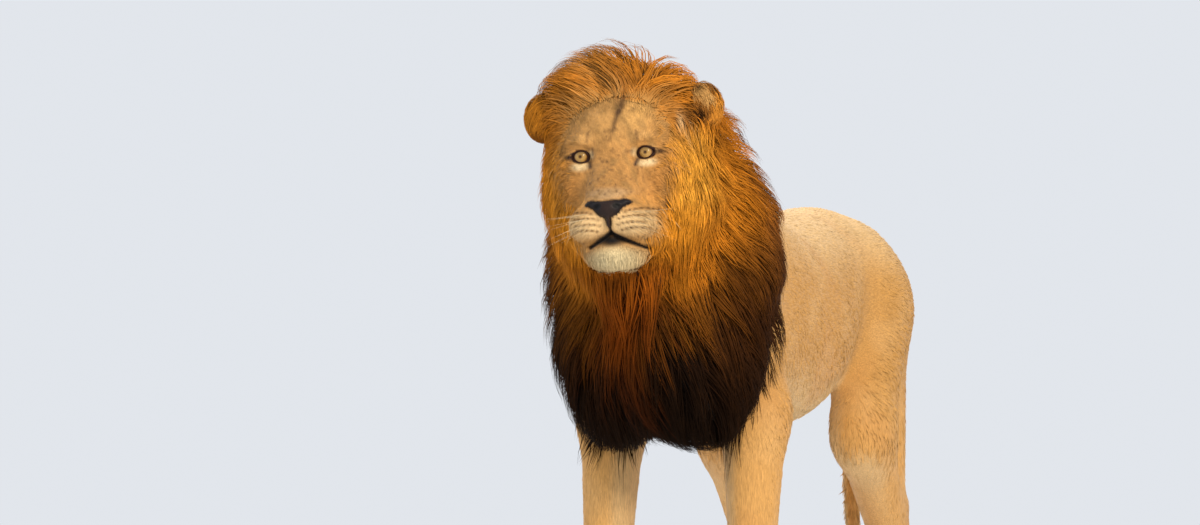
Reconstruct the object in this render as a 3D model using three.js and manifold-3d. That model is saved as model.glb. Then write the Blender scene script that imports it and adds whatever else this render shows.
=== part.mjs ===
// An adult male lion, standing, life size, as a museum shows one.
//
// Millimetres, +Z up. The lion stands on the floor z = 0 with its spine along Y and its nose towards -Y, so
// that its own left side is +X. Every soft form is a field of blended masses, meshed and parted by thin cuts.

import * as THREE from "three";
import { mergeVertices } from "three/addons/utils/BufferGeometryUtils.js";
import Module from "manifold-3d";

const wasm = await Module();
wasm.setup();

// ---------------------------------------------------------------- driving dimensions

const GAP = 0.4; // between two neighbouring parts of the body
const SWELL = 0.9; // how much a part grows before it is cut out of its neighbour
const BACK_HEIGHT = 1052; // top of the back, behind the shoulders
const BELLY_HEIGHT = 592; // underside of the belly
const TRUNK_MID = (BACK_HEIGHT + BELLY_HEIGHT) / 2;
const SHOULDER_Y = -440; // shoulder blades along the spine
const HIP_Y = 470; // hip joints along the spine
const EYE_HEIGHT = 1161; // middle of the two eyes, above the floor
const EYE_Y = -968;
const EYE_X = 10;
const HEAD_TURN = THREE.MathUtils.degToRad(7); // towards the lion's left
const HEAD_ROLL = THREE.MathUtils.degToRad(-4); // left side raised
const EYE_SPREAD = 66; // each eye from the middle of the face
const EYE_RADIUS = 19;
const ORIGIN_Y = 133; // moves the floor point under the trunk to the middle of the whole outline
const PAW_CUT = 112; // height of the cut above the paws
const NECK_CUT = { point: [0, -500, 900], normal: [0, -1, 0.36] };
const HEAD_CUT = { point: [0, 78, 0], normal: [0, -1, 0.34] }; // in the head's frame
const TAIL_SPLIT = { point: [0, 0, 330], normal: [0, 0, 1] };
const LEGS = {
  fore_left: { side: 1, stride: 18 },
  fore_right: { side: -1, stride: -46 },
  hind_left: { side: 1, stride: 34 },
  hind_right: { side: -1, stride: -52 },
};
const EAR = {
  at: [163, 128, 90], // in the head's frame
  outer: [50, 30, 54],
  inner: [40, 25, 45],
  depth: 12,
  turn: [-0.15, 0.5, 0.55],
  room: 8, // that the hair leaves round it
};
const RIM = { centre: [0, 60, -58], radii: [140, 168], locks: 19 }; // where the ruff leaves the face
const LOCK = { length: 215, width: 82, thick: 22, along: 160, across: 78, seed: 11 };
const BEARD_LOCK = { length: 30, width: 44, thick: 11 };
const TUFT = {
  line: [
    [20, 752, 322],
    [26, 772, 250],
    [36, 806, 165],
    [46, 836, 96],
  ],
  core: [16, 24, 26, 8],
  tips: [18, 42, 40, 14],
  locks: 7,
};
const TAIL_LINE = [
  [0, 610, 955],
  [0, 690, 918],
  [4, 742, 810],
  [10, 752, 640],
  [14, 740, 480],
  [20, 752, 330],
  [28, 782, 230],
];
const TAIL_RADII = [46, 34, 26, 22, 19, 17, 15];

// ---------------------------------------------------------------- fields of blended masses

const BODY = new THREE.Matrix4();
const headFrame = new THREE.Matrix4()
  .makeTranslation(EYE_X, EYE_Y, EYE_HEIGHT)
  .multiply(new THREE.Matrix4().makeRotationZ(HEAD_TURN))
  .multiply(new THREE.Matrix4().makeRotationY(HEAD_ROLL));

/** Carries a point by the 16 numbers of a matrix. */
const carried = (m, x, y, z) => [
  m[0] * x + m[4] * y + m[8] * z + m[12],
  m[1] * x + m[5] * y + m[9] * z + m[13],
  m[2] * x + m[6] * y + m[10] * z + m[14],
];

/** An ellipsoid. `blend` is how softly it joins those before it; `tilt` turns it about X, Y, Z in degrees. */
function ball(centre, [rx, ry, rz], { blend = 40, tilt = [0, 0, 0], frame = BODY, carve = false } = {}) {
  const turn = new THREE.Euler(...tilt.map(THREE.MathUtils.degToRad));
  const m = new THREE.Matrix4()
    .makeTranslation(...centre)
    .multiply(new THREE.Matrix4().makeRotationFromEuler(turn))
    .premultiply(frame)
    .invert().elements;
  const distance = (x, y, z) => {
    const [px, py, pz] = carried(m, x, y, z);
    const near = Math.hypot(px / rx, py / ry, pz / rz);
    const slope = Math.hypot(px / (rx * rx), py / (ry * ry), pz / (rz * rz));
    return slope < 1e-9 ? -Math.min(rx, ry, rz) : (near * (near - 1)) / slope;
  };
  return { distance, blend, carve };
}

/** A tapered limb from a to b, with the radius ra at a and rb at b. `flat` narrows it across the body. */
function limb(a, b, ra, rb, { blend = 30, flat = 1, frame = BODY } = {}) {
  const m = frame.clone().invert().elements;
  const [dx, dy, dz] = [b[0] - a[0], b[1] - a[1], b[2] - a[2]];
  const length2 = dx * dx + dy * dy + dz * dz;
  const distance = (x, y, z) => {
    const [px, py, pz] = carried(m, x, y, z).map((v, axis) => v - a[axis]);
    const t = THREE.MathUtils.clamp((px * dx + py * dy + pz * dz) / length2, 0, 1);
    const off = Math.hypot((px - t * dx) / flat, py - t * dy, pz - t * dz);
    return (off - (ra + t * (rb - ra))) * flat;
  };
  return { distance, blend, carve: false };
}

const inHead = (options = {}) => ({ ...options, frame: headFrame });
const bothSides = (make) => [make(1), make(-1)];

/** One distance field from a list of masses, each blended with, or carved from, those before it. */
function fieldOf(masses) {
  return (x, y, z) => {
    let d = 1e6;
    for (const { distance, blend, carve } of masses) {
      const other = carve ? -distance(x, y, z) : distance(x, y, z);
      const h = Math.max(blend - Math.abs(d - other), 0) / blend;
      const soft = (h * h * blend) / 4;
      d = carve ? Math.max(d, other) + soft : Math.min(d, other) - soft;
    }
    return d;
  };
}

// ---------------------------------------------------------------- the lion's masses

function trunkMasses() {
  return [
    ball([0, -300, 858], [196, 350, 250], { blend: 60 }), // rib cage
    ball([0, 60, TRUNK_MID + 2], [192, 400, 226], { blend: 90 }), // belly
    ball([0, 350, 895], [150, 290, 158], { blend: 80 }), // loin
    ball([0, 490, 905], [152, 205, 152], { blend: 70 }), // croup
    ball([0, -560, 775], [150, 165, 160], { blend: 70 }), // breast
    ...bothSides((s) => limb([s * 62, -420, 1035], [s * 112, -545, 800], 72, 86, { blend: 50 })), // shoulder
    ...bothSides((s) => ball([s * 88, HIP_Y + 45, 865], [88, 150, 160])), // haunch
    ...bothSides((s) => ball([s * 66, 600, 885], [70, 92, 98])), // buttock
    limb([0, 610, 950], [0, 690, 920], 62, 38), // root of the tail
  ];
}

function neckMasses() {
  return [
    limb([0, -500, 930], [6, -800, 1120], 190, 138, { blend: 80 }),
    limb([0, -560, 790], [6, -830, 1010], 130, 95, { blend: 70 }), // throat
  ];
}

/** The bones of a leg from the ground up, each a point that the flesh lies round. */
function legBones(fore, side, stride) {
  if (fore) {
    return [
      [side * 150, SHOULDER_Y - 62 + stride, 78], // foot
      [side * 148, SHOULDER_Y - 42 + stride * 0.7, 262], // wrist
      [side * 150, SHOULDER_Y - 12, 640], // elbow
      [side * 130, SHOULDER_Y - 72, 800], // point of the shoulder
      [side * 92, SHOULDER_Y + 8, 985], // top of the shoulder blade
    ];
  }
  return [
    [side * 142, HIP_Y + 92 + stride, 78], // foot
    [side * 138, HIP_Y + 150 + stride, 300], // hock
    [side * 144, HIP_Y - 98 + stride * 0.3, 592], // knee
    [side * 116, HIP_Y + 34, 850], // hip
  ];
}

function forelegMasses(side, stride) {
  const [foot, wrist, elbow, shoulder, blade] = legBones(true, side, stride);
  return [
    limb(blade, shoulder, 70, 106, { blend: 50, flat: 0.8 }), // shoulder blade
    limb(shoulder, elbow, 106, 88, { blend: 50, flat: 0.8 }), // upper arm
    limb(elbow, wrist, 82, 53, { blend: 40, flat: 0.84 }), // forearm
    ball([side * 150, SHOULDER_Y + 50, 655], [36, 40, 46]), // point of the elbow
    limb(wrist, foot, 52, 50, { blend: 24, flat: 0.96 }), // wrist and pastern
    ball([side * 150, wrist[1] + 26, 240], [20, 24, 22], { blend: 24 }), // wrist pad
  ];
}

function hindlegMasses(side, stride) {
  const [foot, hock, knee, hip] = legBones(false, side, stride);
  return [
    limb(hip, knee, 128, 84, { blend: 60, flat: 0.74 }), // thigh
    limb([side * 112, 590, 830], [side * 136, hock[1] - 52, 452], 90, 52, { blend: 60, flat: 0.72 }), // rear
    limb(knee, hock, 80, 42, { blend: 44, flat: 0.8 }), // shank
    limb([side * 136, hock[1] - 16, 430], [side * 138, hock[1] + 28, 318], 30, 30, { blend: 34 }), // heel
    limb(hock, foot, 43, 43, { blend: 28, flat: 0.94 }), // cannon
  ];
}

/** A paw: a pad with four toes, spread in front of it. */
function pawMasses(fore, side, stride) {
  const size = fore ? 1.12 : 1.01;
  const [x, y] = fore ? [side * 152, SHOULDER_Y - 96 + stride] : [side * 143, HIP_Y + 62 + stride];
  const toes = [-1.5, -0.5, 0.5, 1.5].map((step) =>
    ball(
      [x + step * 27 * size, y - (52 - 10 * step * step) * size, 27],
      [17.5 * size, 38 * size, 28],
      { blend: 7, tilt: [12, 0, -step * 7] },
    ),
  );
  return [ball([x, y, 34], [52 * size, 62 * size, 44], { blend: 26 }), ...toes];
}

/**
 * The face and skull, in the head's frame: the origin midway between the eyes, the nose towards -Y.
 * The brows follow the cheekbones, and the two halves of the upper lip follow the muzzle.
 */
function headMasses() {
  return [
    ball([0, 94, 8], [112, 122, 96], inHead({ blend: 50 })), // skull
    ball([0, 32, 38], [86, 54, 60], inHead({ blend: 50 })), // forehead
    ...bothSides((s) => ball([s * 80, 60, -52], [52, 84, 84], inHead({ blend: 44 }))), // cheeks
    ...bothSides((s) => limb([s * 64, -4, -36], [s * 110, 72, -22], 22, 34, inHead())), // cheekbones
    ...bothSides((s) => ball([s * 60, 2, 28], [36, 30, 15], inHead({ blend: 20, tilt: [0, s * 12, s * 24] }))),
    ...bothSides((s) => limb([s * 70, 105, 55], [s * 112, 118, 68], 42, 28, inHead())), // roots of the ears
    limb([0, 6, -4], [0, -98, -104], 40, 36, inHead()), // bridge of the nose
    ...bothSides((s) => limb([s * 22, 2, -8], [s * 22, -94, -98], 25, 24, inHead({ blend: 16 }))), // edges
    limb([0, 40, -110], [0, -52, -130], 90, 64, inHead({ blend: 40 })), // muzzle
    ...bothSides((s) => ball([s * 39, -82, -134], [47, 50, 40], inHead({ blend: 16, tilt: [6, 0, s * 10] }))),
    ball([0, -66, -192], [54, 45, 35], inHead({ blend: 18 })), // chin
    ...bothSides((s) => limb([s * 32, -40, -184], [s * 80, 66, -118], 38, 58, inHead())), // lower jaw
    ...bothSides((s) => ball([s * 69, -30, 0], [25, 22, 18], inHead({ blend: 14, carve: true }))), // sockets
  ];
}

/** The bare nose: a broad top that narrows down to the lip, with two comma-shaped nostrils. */
function noseMasses() {
  return [
    ball([0, -122, -97], [46, 20, 15], inHead({ blend: 10 })),
    ball([0, -126, -110], [25, 19, 20], inHead({ blend: 14 })),
    ball([0, -128, -126], [10, 14, 15], inHead({ blend: 12 })),
    ...bothSides((s) =>
      ball([s * 21, -147, -104], [12, 12, 6.5], inHead({ blend: 5, carve: true, tilt: [0, s * 24, 0] })),
    ),
  ];
}

/** What the tips of the mane's hair reach. */
function maneMasses() {
  return [
    ball([0, -600, 930], [252, 262, 286], { blend: 60 }), // neck
    ball([6, -660, 762], [218, 210, 188], { blend: 80 }), // chest
    ball([118, -622, 700], [104, 118, 148], { blend: 70 }), // over the left foreleg
    ball([-104, -628, 700], [92, 112, 142], { blend: 70 }), // over the right foreleg
    ball([0, -700, 1120], [190, 210, 190], { blend: 60 }), // nape
    ball([5, -880, 960], [125, 105, 150], { blend: 60 }), // throat
    ball([-5, 130, -70], [188, 125, 198], inHead({ blend: 50 })), // ruff
    ball([-12, 122, 96], [180, 108, 124], inHead({ blend: 50 })), // crown
  ];
}

const trunk = fieldOf(trunkMasses());
const skin = fieldOf([...trunkMasses(), ...neckMasses(), ...headMasses()]); // all but the legs and the tail
const maneTips = fieldOf(maneMasses());
const maneCore = (x, y, z) => (skin(x, y, z) + maneTips(x, y, z)) / 2;
const legs = fieldOf(
  Object.entries(LEGS).flatMap(([name, { side, stride }]) =>
    (name.startsWith("fore") ? forelegMasses : hindlegMasses)(side, stride),
  ),
);

/** How far a height is up the crown, from 0 to 1. */
const onCrown = (z) => THREE.MathUtils.smoothstep(z, EYE_HEIGHT + 70, EYE_HEIGHT + 170);

/** The way the mane lies: away from the face and backwards, parted on the crown, and hanging down. */
function lieOfMane({ x, y, z }) {
  const out = new THREE.Vector3(x - EYE_X, y - EYE_Y + 30, z - EYE_HEIGHT + 40).normalize();
  const crown = onCrown(z);
  const parted = 0.5 * crown * THREE.MathUtils.clamp((x - EYE_X + 15) / 90, -1, 1);
  return new THREE.Vector3(out.x + parted, 0.7 * out.y + 0.5, 0.9 * out.z - 0.75 + 0.35 * crown);
}

// ---------------------------------------------------------------- meshing

/** Grid lines from the first mark on, with a step for each stretch: marks(0, [100, 20], [300, 40]). */
function marks(from, ...stretches) {
  const lines = [from];
  for (const [to, step] of stretches) {
    const start = lines.at(-1);
    const count = Math.max(1, Math.round((to - start) / step));
    for (let i = 1; i <= count; i++) {
      lines.push(start + ((to - start) * i) / count);
    }
  }
  return lines;
}

/** The same lines on both sides of zero. */
function mirrored(...stretches) {
  const half = marks(0, ...stretches);
  return [
    ...half
      .slice(1)
      .reverse()
      .map((x) => -x),
    ...half,
  ];
}

/** The closed surface field = 0 over a grid in `frame`, as a geometry in the body's frame. */
function surfaceOf(field, [xs, ys, zs], frame = BODY) {
  const [nx, ny, nz] = [xs.length, ys.length, zs.length];
  const at = (i, j, k) => (i * ny + j) * nz + k;
  const world = (x, y, z) => carried(frame.elements, x, y, z);
  const values = new Float64Array(nx * ny * nz);
  for (let i = 0; i < nx; i++)
    for (let j = 0; j < ny; j++)
      for (let k = 0; k < nz; k++) {
        const rim =
          i * j * k === 0 || i === nx - 1 || j === ny - 1 || k === nz - 1;
        const d = field(...world(xs[i], ys[j], zs[k]));
        values[at(i, j, k)] = rim ? Math.max(d, 1) : d;
      }
  const positions = [];
  const vertexOf = new Int32Array(nx * ny * nz).fill(-1);
  const corner = [0, 1, 2, 3, 4, 5, 6, 7].map((c) => [c & 1, (c >> 1) & 1, c >> 2]);
  const edges = [];
  for (let a = 0; a < 8; a++)
    for (const bit of [1, 2, 4]) if (!(a & bit)) edges.push([a, a | bit]);
  for (let i = 0; i + 1 < nx; i++)
    for (let j = 0; j + 1 < ny; j++)
      for (let k = 0; k + 1 < nz; k++) {
        const sum = [0, 0, 0];
        let crossings = 0;
        for (const [a, b] of edges) {
          const [pa, pb] = [corner[a], corner[b]];
          const va = values[at(i + pa[0], j + pa[1], k + pa[2])];
          const vb = values[at(i + pb[0], j + pb[1], k + pb[2])];
          if (va < 0 === vb < 0) continue;
          const t = va / (va - vb);
          const line = [xs, ys, zs];
          [i, j, k].forEach((n, axis) => {
            const from = line[axis][n + pa[axis]];
            sum[axis] += from + t * (line[axis][n + pb[axis]] - from);
          });
          crossings++;
        }
        if (!crossings) continue;
        vertexOf[at(i, j, k)] = positions.length / 3;
        positions.push(...world(...sum.map((s) => s / crossings)));
      }
  const index = [];
  const apart = (a, b) =>
    Math.hypot(
      positions[3 * a] - positions[3 * b],
      positions[3 * a + 1] - positions[3 * b + 1],
      positions[3 * a + 2] - positions[3 * b + 2],
    );
  const quad = (a, b, c, d, flip) => {
    const [p, q, r, s] = flip ? [a, d, c, b] : [a, b, c, d];
    if (apart(p, r) < apart(q, s)) index.push(p, q, r, p, r, s);
    else index.push(p, q, s, q, r, s);
  };
  const v = (i, j, k) => vertexOf[at(i, j, k)];
  for (let i = 0; i + 1 < nx; i++)
    for (let j = 0; j + 1 < ny; j++)
      for (let k = 0; k + 1 < nz; k++) {
        const inside = values[at(i, j, k)] < 0;
        if (j * k > 0 && inside !== values[at(i + 1, j, k)] < 0)
          quad(v(i, j - 1, k - 1), v(i, j, k - 1), v(i, j, k), v(i, j - 1, k), !inside);
        if (i * k > 0 && inside !== values[at(i, j + 1, k)] < 0)
          quad(v(i - 1, j, k - 1), v(i - 1, j, k), v(i, j, k), v(i, j, k - 1), !inside);
        if (i * j > 0 && inside !== values[at(i, j, k + 1)] < 0)
          quad(v(i - 1, j - 1, k), v(i, j - 1, k), v(i, j, k), v(i - 1, j, k), !inside);
      }
  const geometry = new THREE.BufferGeometry();
  geometry.setAttribute(
    "position",
    new THREE.Float32BufferAttribute(positions, 3),
  );
  geometry.setIndex(index);
  return geometry;
}

/** How far a ray from `centre` towards `direction` runs inside a field. */
function reach(field, centre, direction, limit) {
  const at = (r) => field(...centre.map((c, axis) => c + r * direction[axis]));
  let [inner, outer] = [0, 8];
  while (outer < limit && at(outer) < 0) [inner, outer] = [outer, outer + 8];
  for (let i = 0; i < 12; i++) {
    const middle = (inner + outer) / 2;
    if (at(middle) < 0) inner = middle;
    else outer = middle;
  }
  return (inner + outer) / 2;
}

/** Rings of points round `centres` on the surface of a field, in the plane of u and v. */
function ringsOn(field, centres, sides, u, v, limit = 400) {
  return centres.flatMap((centre) =>
    Array.from({ length: sides }, (_, k) => {
      const a = (2 * Math.PI * (k + 0.5)) / sides;
      const direction = u.map((_, axis) => Math.cos(a) * u[axis] + Math.sin(a) * v[axis]);
      const r = reach(field, centre, direction, limit);
      return new THREE.Vector3(...centre.map((c, axis) => c + r * direction[axis]));
    }),
  );
}

/** The closed surface through rings of points that run along u x v, its two ends flat. */
function throughRings(points, sides) {
  const index = [];
  for (let a = 0; a + sides < points.length; a++) {
    const b = (a + 1) % sides ? a + 1 : a + 1 - sides;
    index.push(a, b, a + sides, b, b + sides, a + sides);
  }
  const end = points.length - sides;
  for (let k = 1; k + 1 < sides; k++) {
    index.push(0, k + 1, k, end, end + k, end + k + 1);
  }
  return new THREE.BufferGeometry().setFromPoints(points).setIndex(index);
}

/** The value at t = 0 to 1 of evenly spaced ones. */
function valueAlong(values, t) {
  const i = Math.min(values.length - 2, Math.floor(t * (values.length - 1)));
  return THREE.MathUtils.lerp(values[i], values[i + 1], t * (values.length - 1) - i);
}

/** A tapered tube along a smooth curve through `points`, its radius given at each of them. */
function tube(points, radii, sides, steps) {
  const curve = new THREE.CatmullRomCurve3(points.map((p) => new THREE.Vector3(...p)));
  const frames = curve.computeFrenetFrames(steps);
  const rings = [];
  for (let i = 0; i <= steps; i++) {
    const u = curve.getUtoTmapping(i / steps);
    for (let k = 0; k < sides; k++) {
      const a = (2 * Math.PI * k) / sides;
      const around = frames.normals[i]
        .clone()
        .multiplyScalar(Math.cos(a))
        .addScaledVector(frames.binormals[i], Math.sin(a));
      rings.push(curve.getPoint(u).addScaledVector(around, valueAlong(radii, u)));
    }
  }
  return throughRings(rings, sides);
}

/** The same surface, every point pushed outwards. */
function swollen(geometry, by = SWELL) {
  const out = geometry.clone();
  out.computeVertexNormals();
  const { position, normal } = out.attributes;
  for (let i = 0; i < position.count; i++) {
    position.setXYZ(
      i,
      position.getX(i) + by * normal.getX(i),
      position.getY(i) + by * normal.getY(i),
      position.getZ(i) + by * normal.getZ(i),
    );
  }
  return out;
}

// ---------------------------------------------------------------- locks of hair

/** Numbers from 0 to 1, the same on every run. */
function seeded(seed) {
  let state = seed;
  return () => {
    state = (Math.imul(state, 1664525) + 1013904223) >>> 0;
    return state / 2 ** 32;
  };
}

function slopeOf(field, { x, y, z }) {
  return new THREE.Vector3(
    field(x + 1, y, z) - field(x - 1, y, z),
    field(x, y + 1, z) - field(x, y - 1, z),
    field(x, y, z + 1) - field(x, y, z - 1),
  ).divideScalar(2);
}

/** The nearest point where a field is zero, and the way out of it there. */
function settled(field, point) {
  const at = point.clone();
  for (let i = 0; i < 3; i++) {
    const slope = slopeOf(field, at);
    at.addScaledVector(slope, -field(at.x, at.y, at.z) / Math.max(slope.lengthSq(), 0.1));
  }
  return { at, out: slopeOf(field, at).normalize() };
}

/** The part of a direction that runs along the surface. */
const along = (direction, out) => direction.clone().addScaledVector(out, -direction.dot(out)).normalize();

/** A flat, tapered, three-sided lock along a path of points, each with its way out. */
function lock(path, { width, thick }) {
  const last = path.length - 1;
  const points = path.flatMap(({ at, out }, i) => {
    const t = i / last;
    const ahead = path[Math.min(last, i + 1)].at.clone().sub(path[Math.max(0, i - 1)].at);
    const across = new THREE.Vector3().crossVectors(out, ahead).normalize();
    const taper = Math.max(0.05, Math.min(1, 0.75 + t) * (1 - t ** 2.2));
    const ridge = at.clone().addScaledVector(out, thick * taper);
    const base = at.clone().addScaledVector(out, -3 * taper);
    const edge = (s) => base.clone().addScaledVector(across, (s * width * taper) / 2);
    return [edge(1), ridge, edge(-1)];
  });
  return throughRings(points, 3);
}

/** The path of one lock of the mane, which leaves the core and bends out until its tip is among the tips. */
function manePath(root, length, turn) {
  const steps = 3;
  const lift = 1.8 + onCrown(root.z + 60);
  const path = [];
  let point = root;
  for (let i = 0; i <= steps; i++) {
    const rise = -0.25 + 1.3 * (1 - (1 - i / steps) ** lift);
    const shell = (x, y, z) =>
      Math.min(
        (1 - rise) * maneCore(x, y, z) + rise * maneTips(x, y, z),
        Math.min(skin(x, y, z), legs(x, y, z)) - 3 - 9 * rise,
      );
    const { at, out } = settled(shell, point);
    path.push({ at, out });
    const way = along(lieOfMane(at), out).applyAxisAngle(out, turn * (1 - i / steps));
    point = at.clone().addScaledVector(way, length / steps);
  }
  return path;
}

/** The first roots, round the face and closer together on the forehead. */
function rimRoots() {
  const { centre, radii, locks } = RIM;
  return Array.from({ length: locks }, (_, k) => {
    const turn = (2 * Math.PI * (k + 0.4)) / locks;
    const a = turn + 0.4 * Math.cos(turn);
    const [x, z] = [centre[0] + radii[0] * Math.cos(a), centre[2] + radii[1] * Math.sin(a)];
    const point = new THREE.Vector3(...carried(headFrame.elements, x, centre[1], z));
    return settled(maneCore, point).at;
  });
}

/** Roots spread evenly over the core, with more room along the hair than across it, closer on the crown. */
function maneRoots(core, random) {
  const { position } = core.attributes;
  const places = [];
  for (let i = 0; i < core.index.count; i += 3) {
    const corner = (k) => new THREE.Vector3().fromBufferAttribute(position, core.index.getX(i + k));
    const [a, b, c] = [0, 1, 2].map(corner);
    for (let place = 0; place < 6; place++) {
      const at = a.clone().lerp(b, random()).lerp(c, random());
      places.push({ at, order: random() });
    }
  }
  const roots = rimRoots();
  for (const { at } of places.sort((p, q) => p.order - q.order)) {
    if (skin(at.x, at.y, at.z) < 4 || legs(at.x, at.y, at.z) < 7) continue;
    const way = along(lieOfMane(at), slopeOf(maneCore, at).normalize());
    const free = roots.every((other) => {
      const gap = other.clone().sub(at);
      const down = gap.dot(way);
      const nearness = (down / LOCK.along) ** 2 + (gap.lengthSq() - down * down) / LOCK.across ** 2;
      return nearness > 1 - 0.68 * onCrown(at.z + 60);
    });
    if (free) roots.push(at);
  }
  return roots;
}

function maneLocks(core) {
  const random = seeded(LOCK.seed);
  return maneRoots(core, random).map((root) => {
    const size = 0.88 + 0.24 * random() - 0.2 * onCrown(root.z);
    const path = manePath(root, LOCK.length * size, 0.5 * (random() - 0.5));
    return lock(path, LOCK);
  });
}

/** The short beard under the chin, rooted in two rows. */
function beardLocks() {
  const rows = { "-196": [-38, 0, 38], "-208": [-20, 20] };
  return Object.entries(rows).flatMap(([z, xs]) =>
    xs.map((x) => {
      const path = [0, 1, 2, 3].map((i) => {
        const drop = (i / 3) * BEARD_LOCK.length;
        const at = faceAt(x, Number(z), 5);
        return {
          at: new THREE.Vector3(at[0] + x * drop * 0.004, at[1] + drop * 0.12, at[2] - drop),
          out: new THREE.Vector3(0, -1, -0.2).normalize(),
        };
      });
      return lock(path, BEARD_LOCK);
    }),
  );
}

/** The locks round the end of the tail, which close to a point. */
function tuftLocks() {
  const curve = new THREE.CatmullRomCurve3(TUFT.line.map((p) => new THREE.Vector3(...p)));
  const frames = curve.computeFrenetFrames(20);
  return Array.from({ length: TUFT.locks }, (_, k) => {
    const from = 0.04 + (0.5 * k) / TUFT.locks;
    const path = [0, 1, 2, 3].map((i) => {
      const u = Math.min(1, from + (0.5 * i) / 3);
      const ring = Math.round(u * 20);
      const out = frames.normals[ring]
        .clone()
        .multiplyScalar(Math.cos(2.4 * k))
        .addScaledVector(frames.binormals[ring], Math.sin(2.4 * k));
      const core = valueAlong(TUFT.core, u);
      const away = THREE.MathUtils.lerp(core * 0.8, valueAlong(TUFT.tips, u), i / 3);
      return { at: curve.getPointAt(u).addScaledVector(out, away), out };
    });
    return lock(path, { width: 36, thick: 12 });
  });
}

// ---------------------------------------------------------------- solids

function solidOf(geometry) {
  return new wasm.Manifold(
    new wasm.Mesh({
      numProp: 3,
      vertProperties: new Float32Array(geometry.attributes.position.array),
      triVerts: new Uint32Array(geometry.index.array),
    }),
  );
}

function geometryOf(solid) {
  const { vertProperties, triVerts } = solid.getMesh();
  const geometry = new THREE.BufferGeometry();
  geometry.setAttribute("position", new THREE.BufferAttribute(new Float32Array(vertProperties), 3));
  geometry.setIndex(new THREE.BufferAttribute(new Uint32Array(triVerts), 1));
  geometry.computeVertexNormals();
  return geometry;
}

/** The largest closed body of a solid, so that a cut leaves no scraps. */
function largest(solid) {
  return solid.decompose().reduce((best, s) => (s.volume() > best.volume() ? s : best));
}

/** What lies on the side of a plane that its normal points to. `clear` moves the plane that way. */
function sideOf(solid, { point, normal }, clear = GAP / 2) {
  const n = new THREE.Vector3(...normal).normalize();
  return solid.trimByPlane(n.toArray(), n.dot(new THREE.Vector3(...point)) + clear);
}

const otherSide = ({ point, normal }) => ({ point, normal: normal.map((n) => -n) });

/** A stock three.js shape with its points merged, placed by a matrix. */
function placed(shape, matrix) {
  shape.deleteAttribute("normal");
  shape.deleteAttribute("uv");
  return mergeVertices(shape, 1e-3).applyMatrix4(matrix);
}

/** An ellipsoid of few faces, in the head's frame. */
function smallBall(centre, radii, [around, along], turn = [0, 0, 0]) {
  const matrix = new THREE.Matrix4()
    .makeTranslation(...centre)
    .multiply(new THREE.Matrix4().makeRotationFromEuler(new THREE.Euler(...turn, "ZYX")))
    .multiply(new THREE.Matrix4().makeScale(...radii))
    .premultiply(headFrame);
  return placed(new THREE.SphereGeometry(1, around, along), matrix);
}

// ---------------------------------------------------------------- parts of the body

/** A plane of the head's frame, in the body's frame. */
const inBody = ({ point, normal }) => ({
  point: new THREE.Vector3(...point).applyMatrix4(headFrame).toArray(),
  normal: new THREE.Vector3(...normal).transformDirection(headFrame).toArray(),
});
const headCut = inBody(HEAD_CUT);

/** A point on the skin of the face, met from the front at x, z. */
function faceAt(x, z, sink = 0) {
  let y = -200;
  while (skin(...carried(headFrame.elements, x, y, z)) > 0 && y < 60) y += 1;
  return carried(headFrame.elements, x, y + sink, z);
}

function makeTorso() {
  const centres = [722, 712, 700, 686, 670, 650, 625, 590, 545, 490, 430, 360, 280, 190, 95, 0, -100]
    .concat([-195, -280, -355, -420, -480, -540, -600])
    .map((y) => [0, y, THREE.MathUtils.clamp(850 + (y - 400) * 0.235, 850, 920)]);
  return throughRings(ringsOn(trunk, centres, 20, [1, 0, 0], [0, 0, 1]), 20);
}

function makeLeg(fore, side, stride) {
  const [foot, ankle, knee, hip] = legBones(fore, side, stride);
  const spine = fore
    ? [...legBones(fore, side, stride), [side * 92, SHOULDER_Y + 8, 1060]]
    : [foot, ankle, [knee[0], 512, 446], [knee[0], 478, 592], [hip[0], 508, 850], [hip[0], 520, 990]];
  const heights = fore
    ? [100, 140, 190, 235, 270, 320, 390, 470, 545, 600, 645, 700, 760, 820, 880, 940, 990, 1030, 1052]
    : [100, 145, 200, 250, 285, 312, 345, 390, 440, 495, 550, 600, 650, 700, 755, 810, 860, 910, 945, 968];
  const centres = heights.map((z) => {
    const above = spine.findIndex((p) => p[2] >= z);
    const [a, b] = [spine[above - 1], spine[above]];
    const t = (z - a[2]) / (b[2] - a[2]);
    return [a[0] + t * (b[0] - a[0]), a[1] + t * (b[1] - a[1]), z];
  });
  const masses = fore ? forelegMasses(side, stride) : hindlegMasses(side, stride);
  const sides = fore ? 11 : 13;
  return throughRings(ringsOn(fieldOf(masses), centres, sides, [1, 0, 0], [0, 1, 0]), sides);
}

function makePaw(fore, side, stride) {
  const ankle = (fore ? forelegMasses : hindlegMasses)(side, stride).at(4);
  const paw = fieldOf([...pawMasses(fore, side, stride), ankle]);
  const [x, y] = legBones(fore, side, stride)[0];
  const grid = [
    marks(x - 80, [x + 80, 15.8]),
    marks(y - 156, [y - 76, 18], [y + 84, 30]),
    marks(-40, [8, 24], [72, 18], [170, 36]),
  ];
  return sideOf(solidOf(surfaceOf(paw, grid)), { point: [0, 0, 0], normal: [0, 0, 1] }, 0);
}

const headGrid = [
  mirrored([91, 13], [190, 25]),
  marks(-165, [30, 16.3], [110, 30], [230, 45]),
  marks(-258, [46, 15.6], [152, 30]),
];

/** An ear: a rounded cup that opens forwards and outwards. */
function earShell(s, radii, forward = 0, faces = [10, 7]) {
  const [tip, lean, swing] = EAR.turn;
  const at = [s * EAR.at[0], EAR.at[1] - forward, EAR.at[2]];
  return smallBall(at, radii, faces, [tip, s * lean, s * swing]);
}

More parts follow.
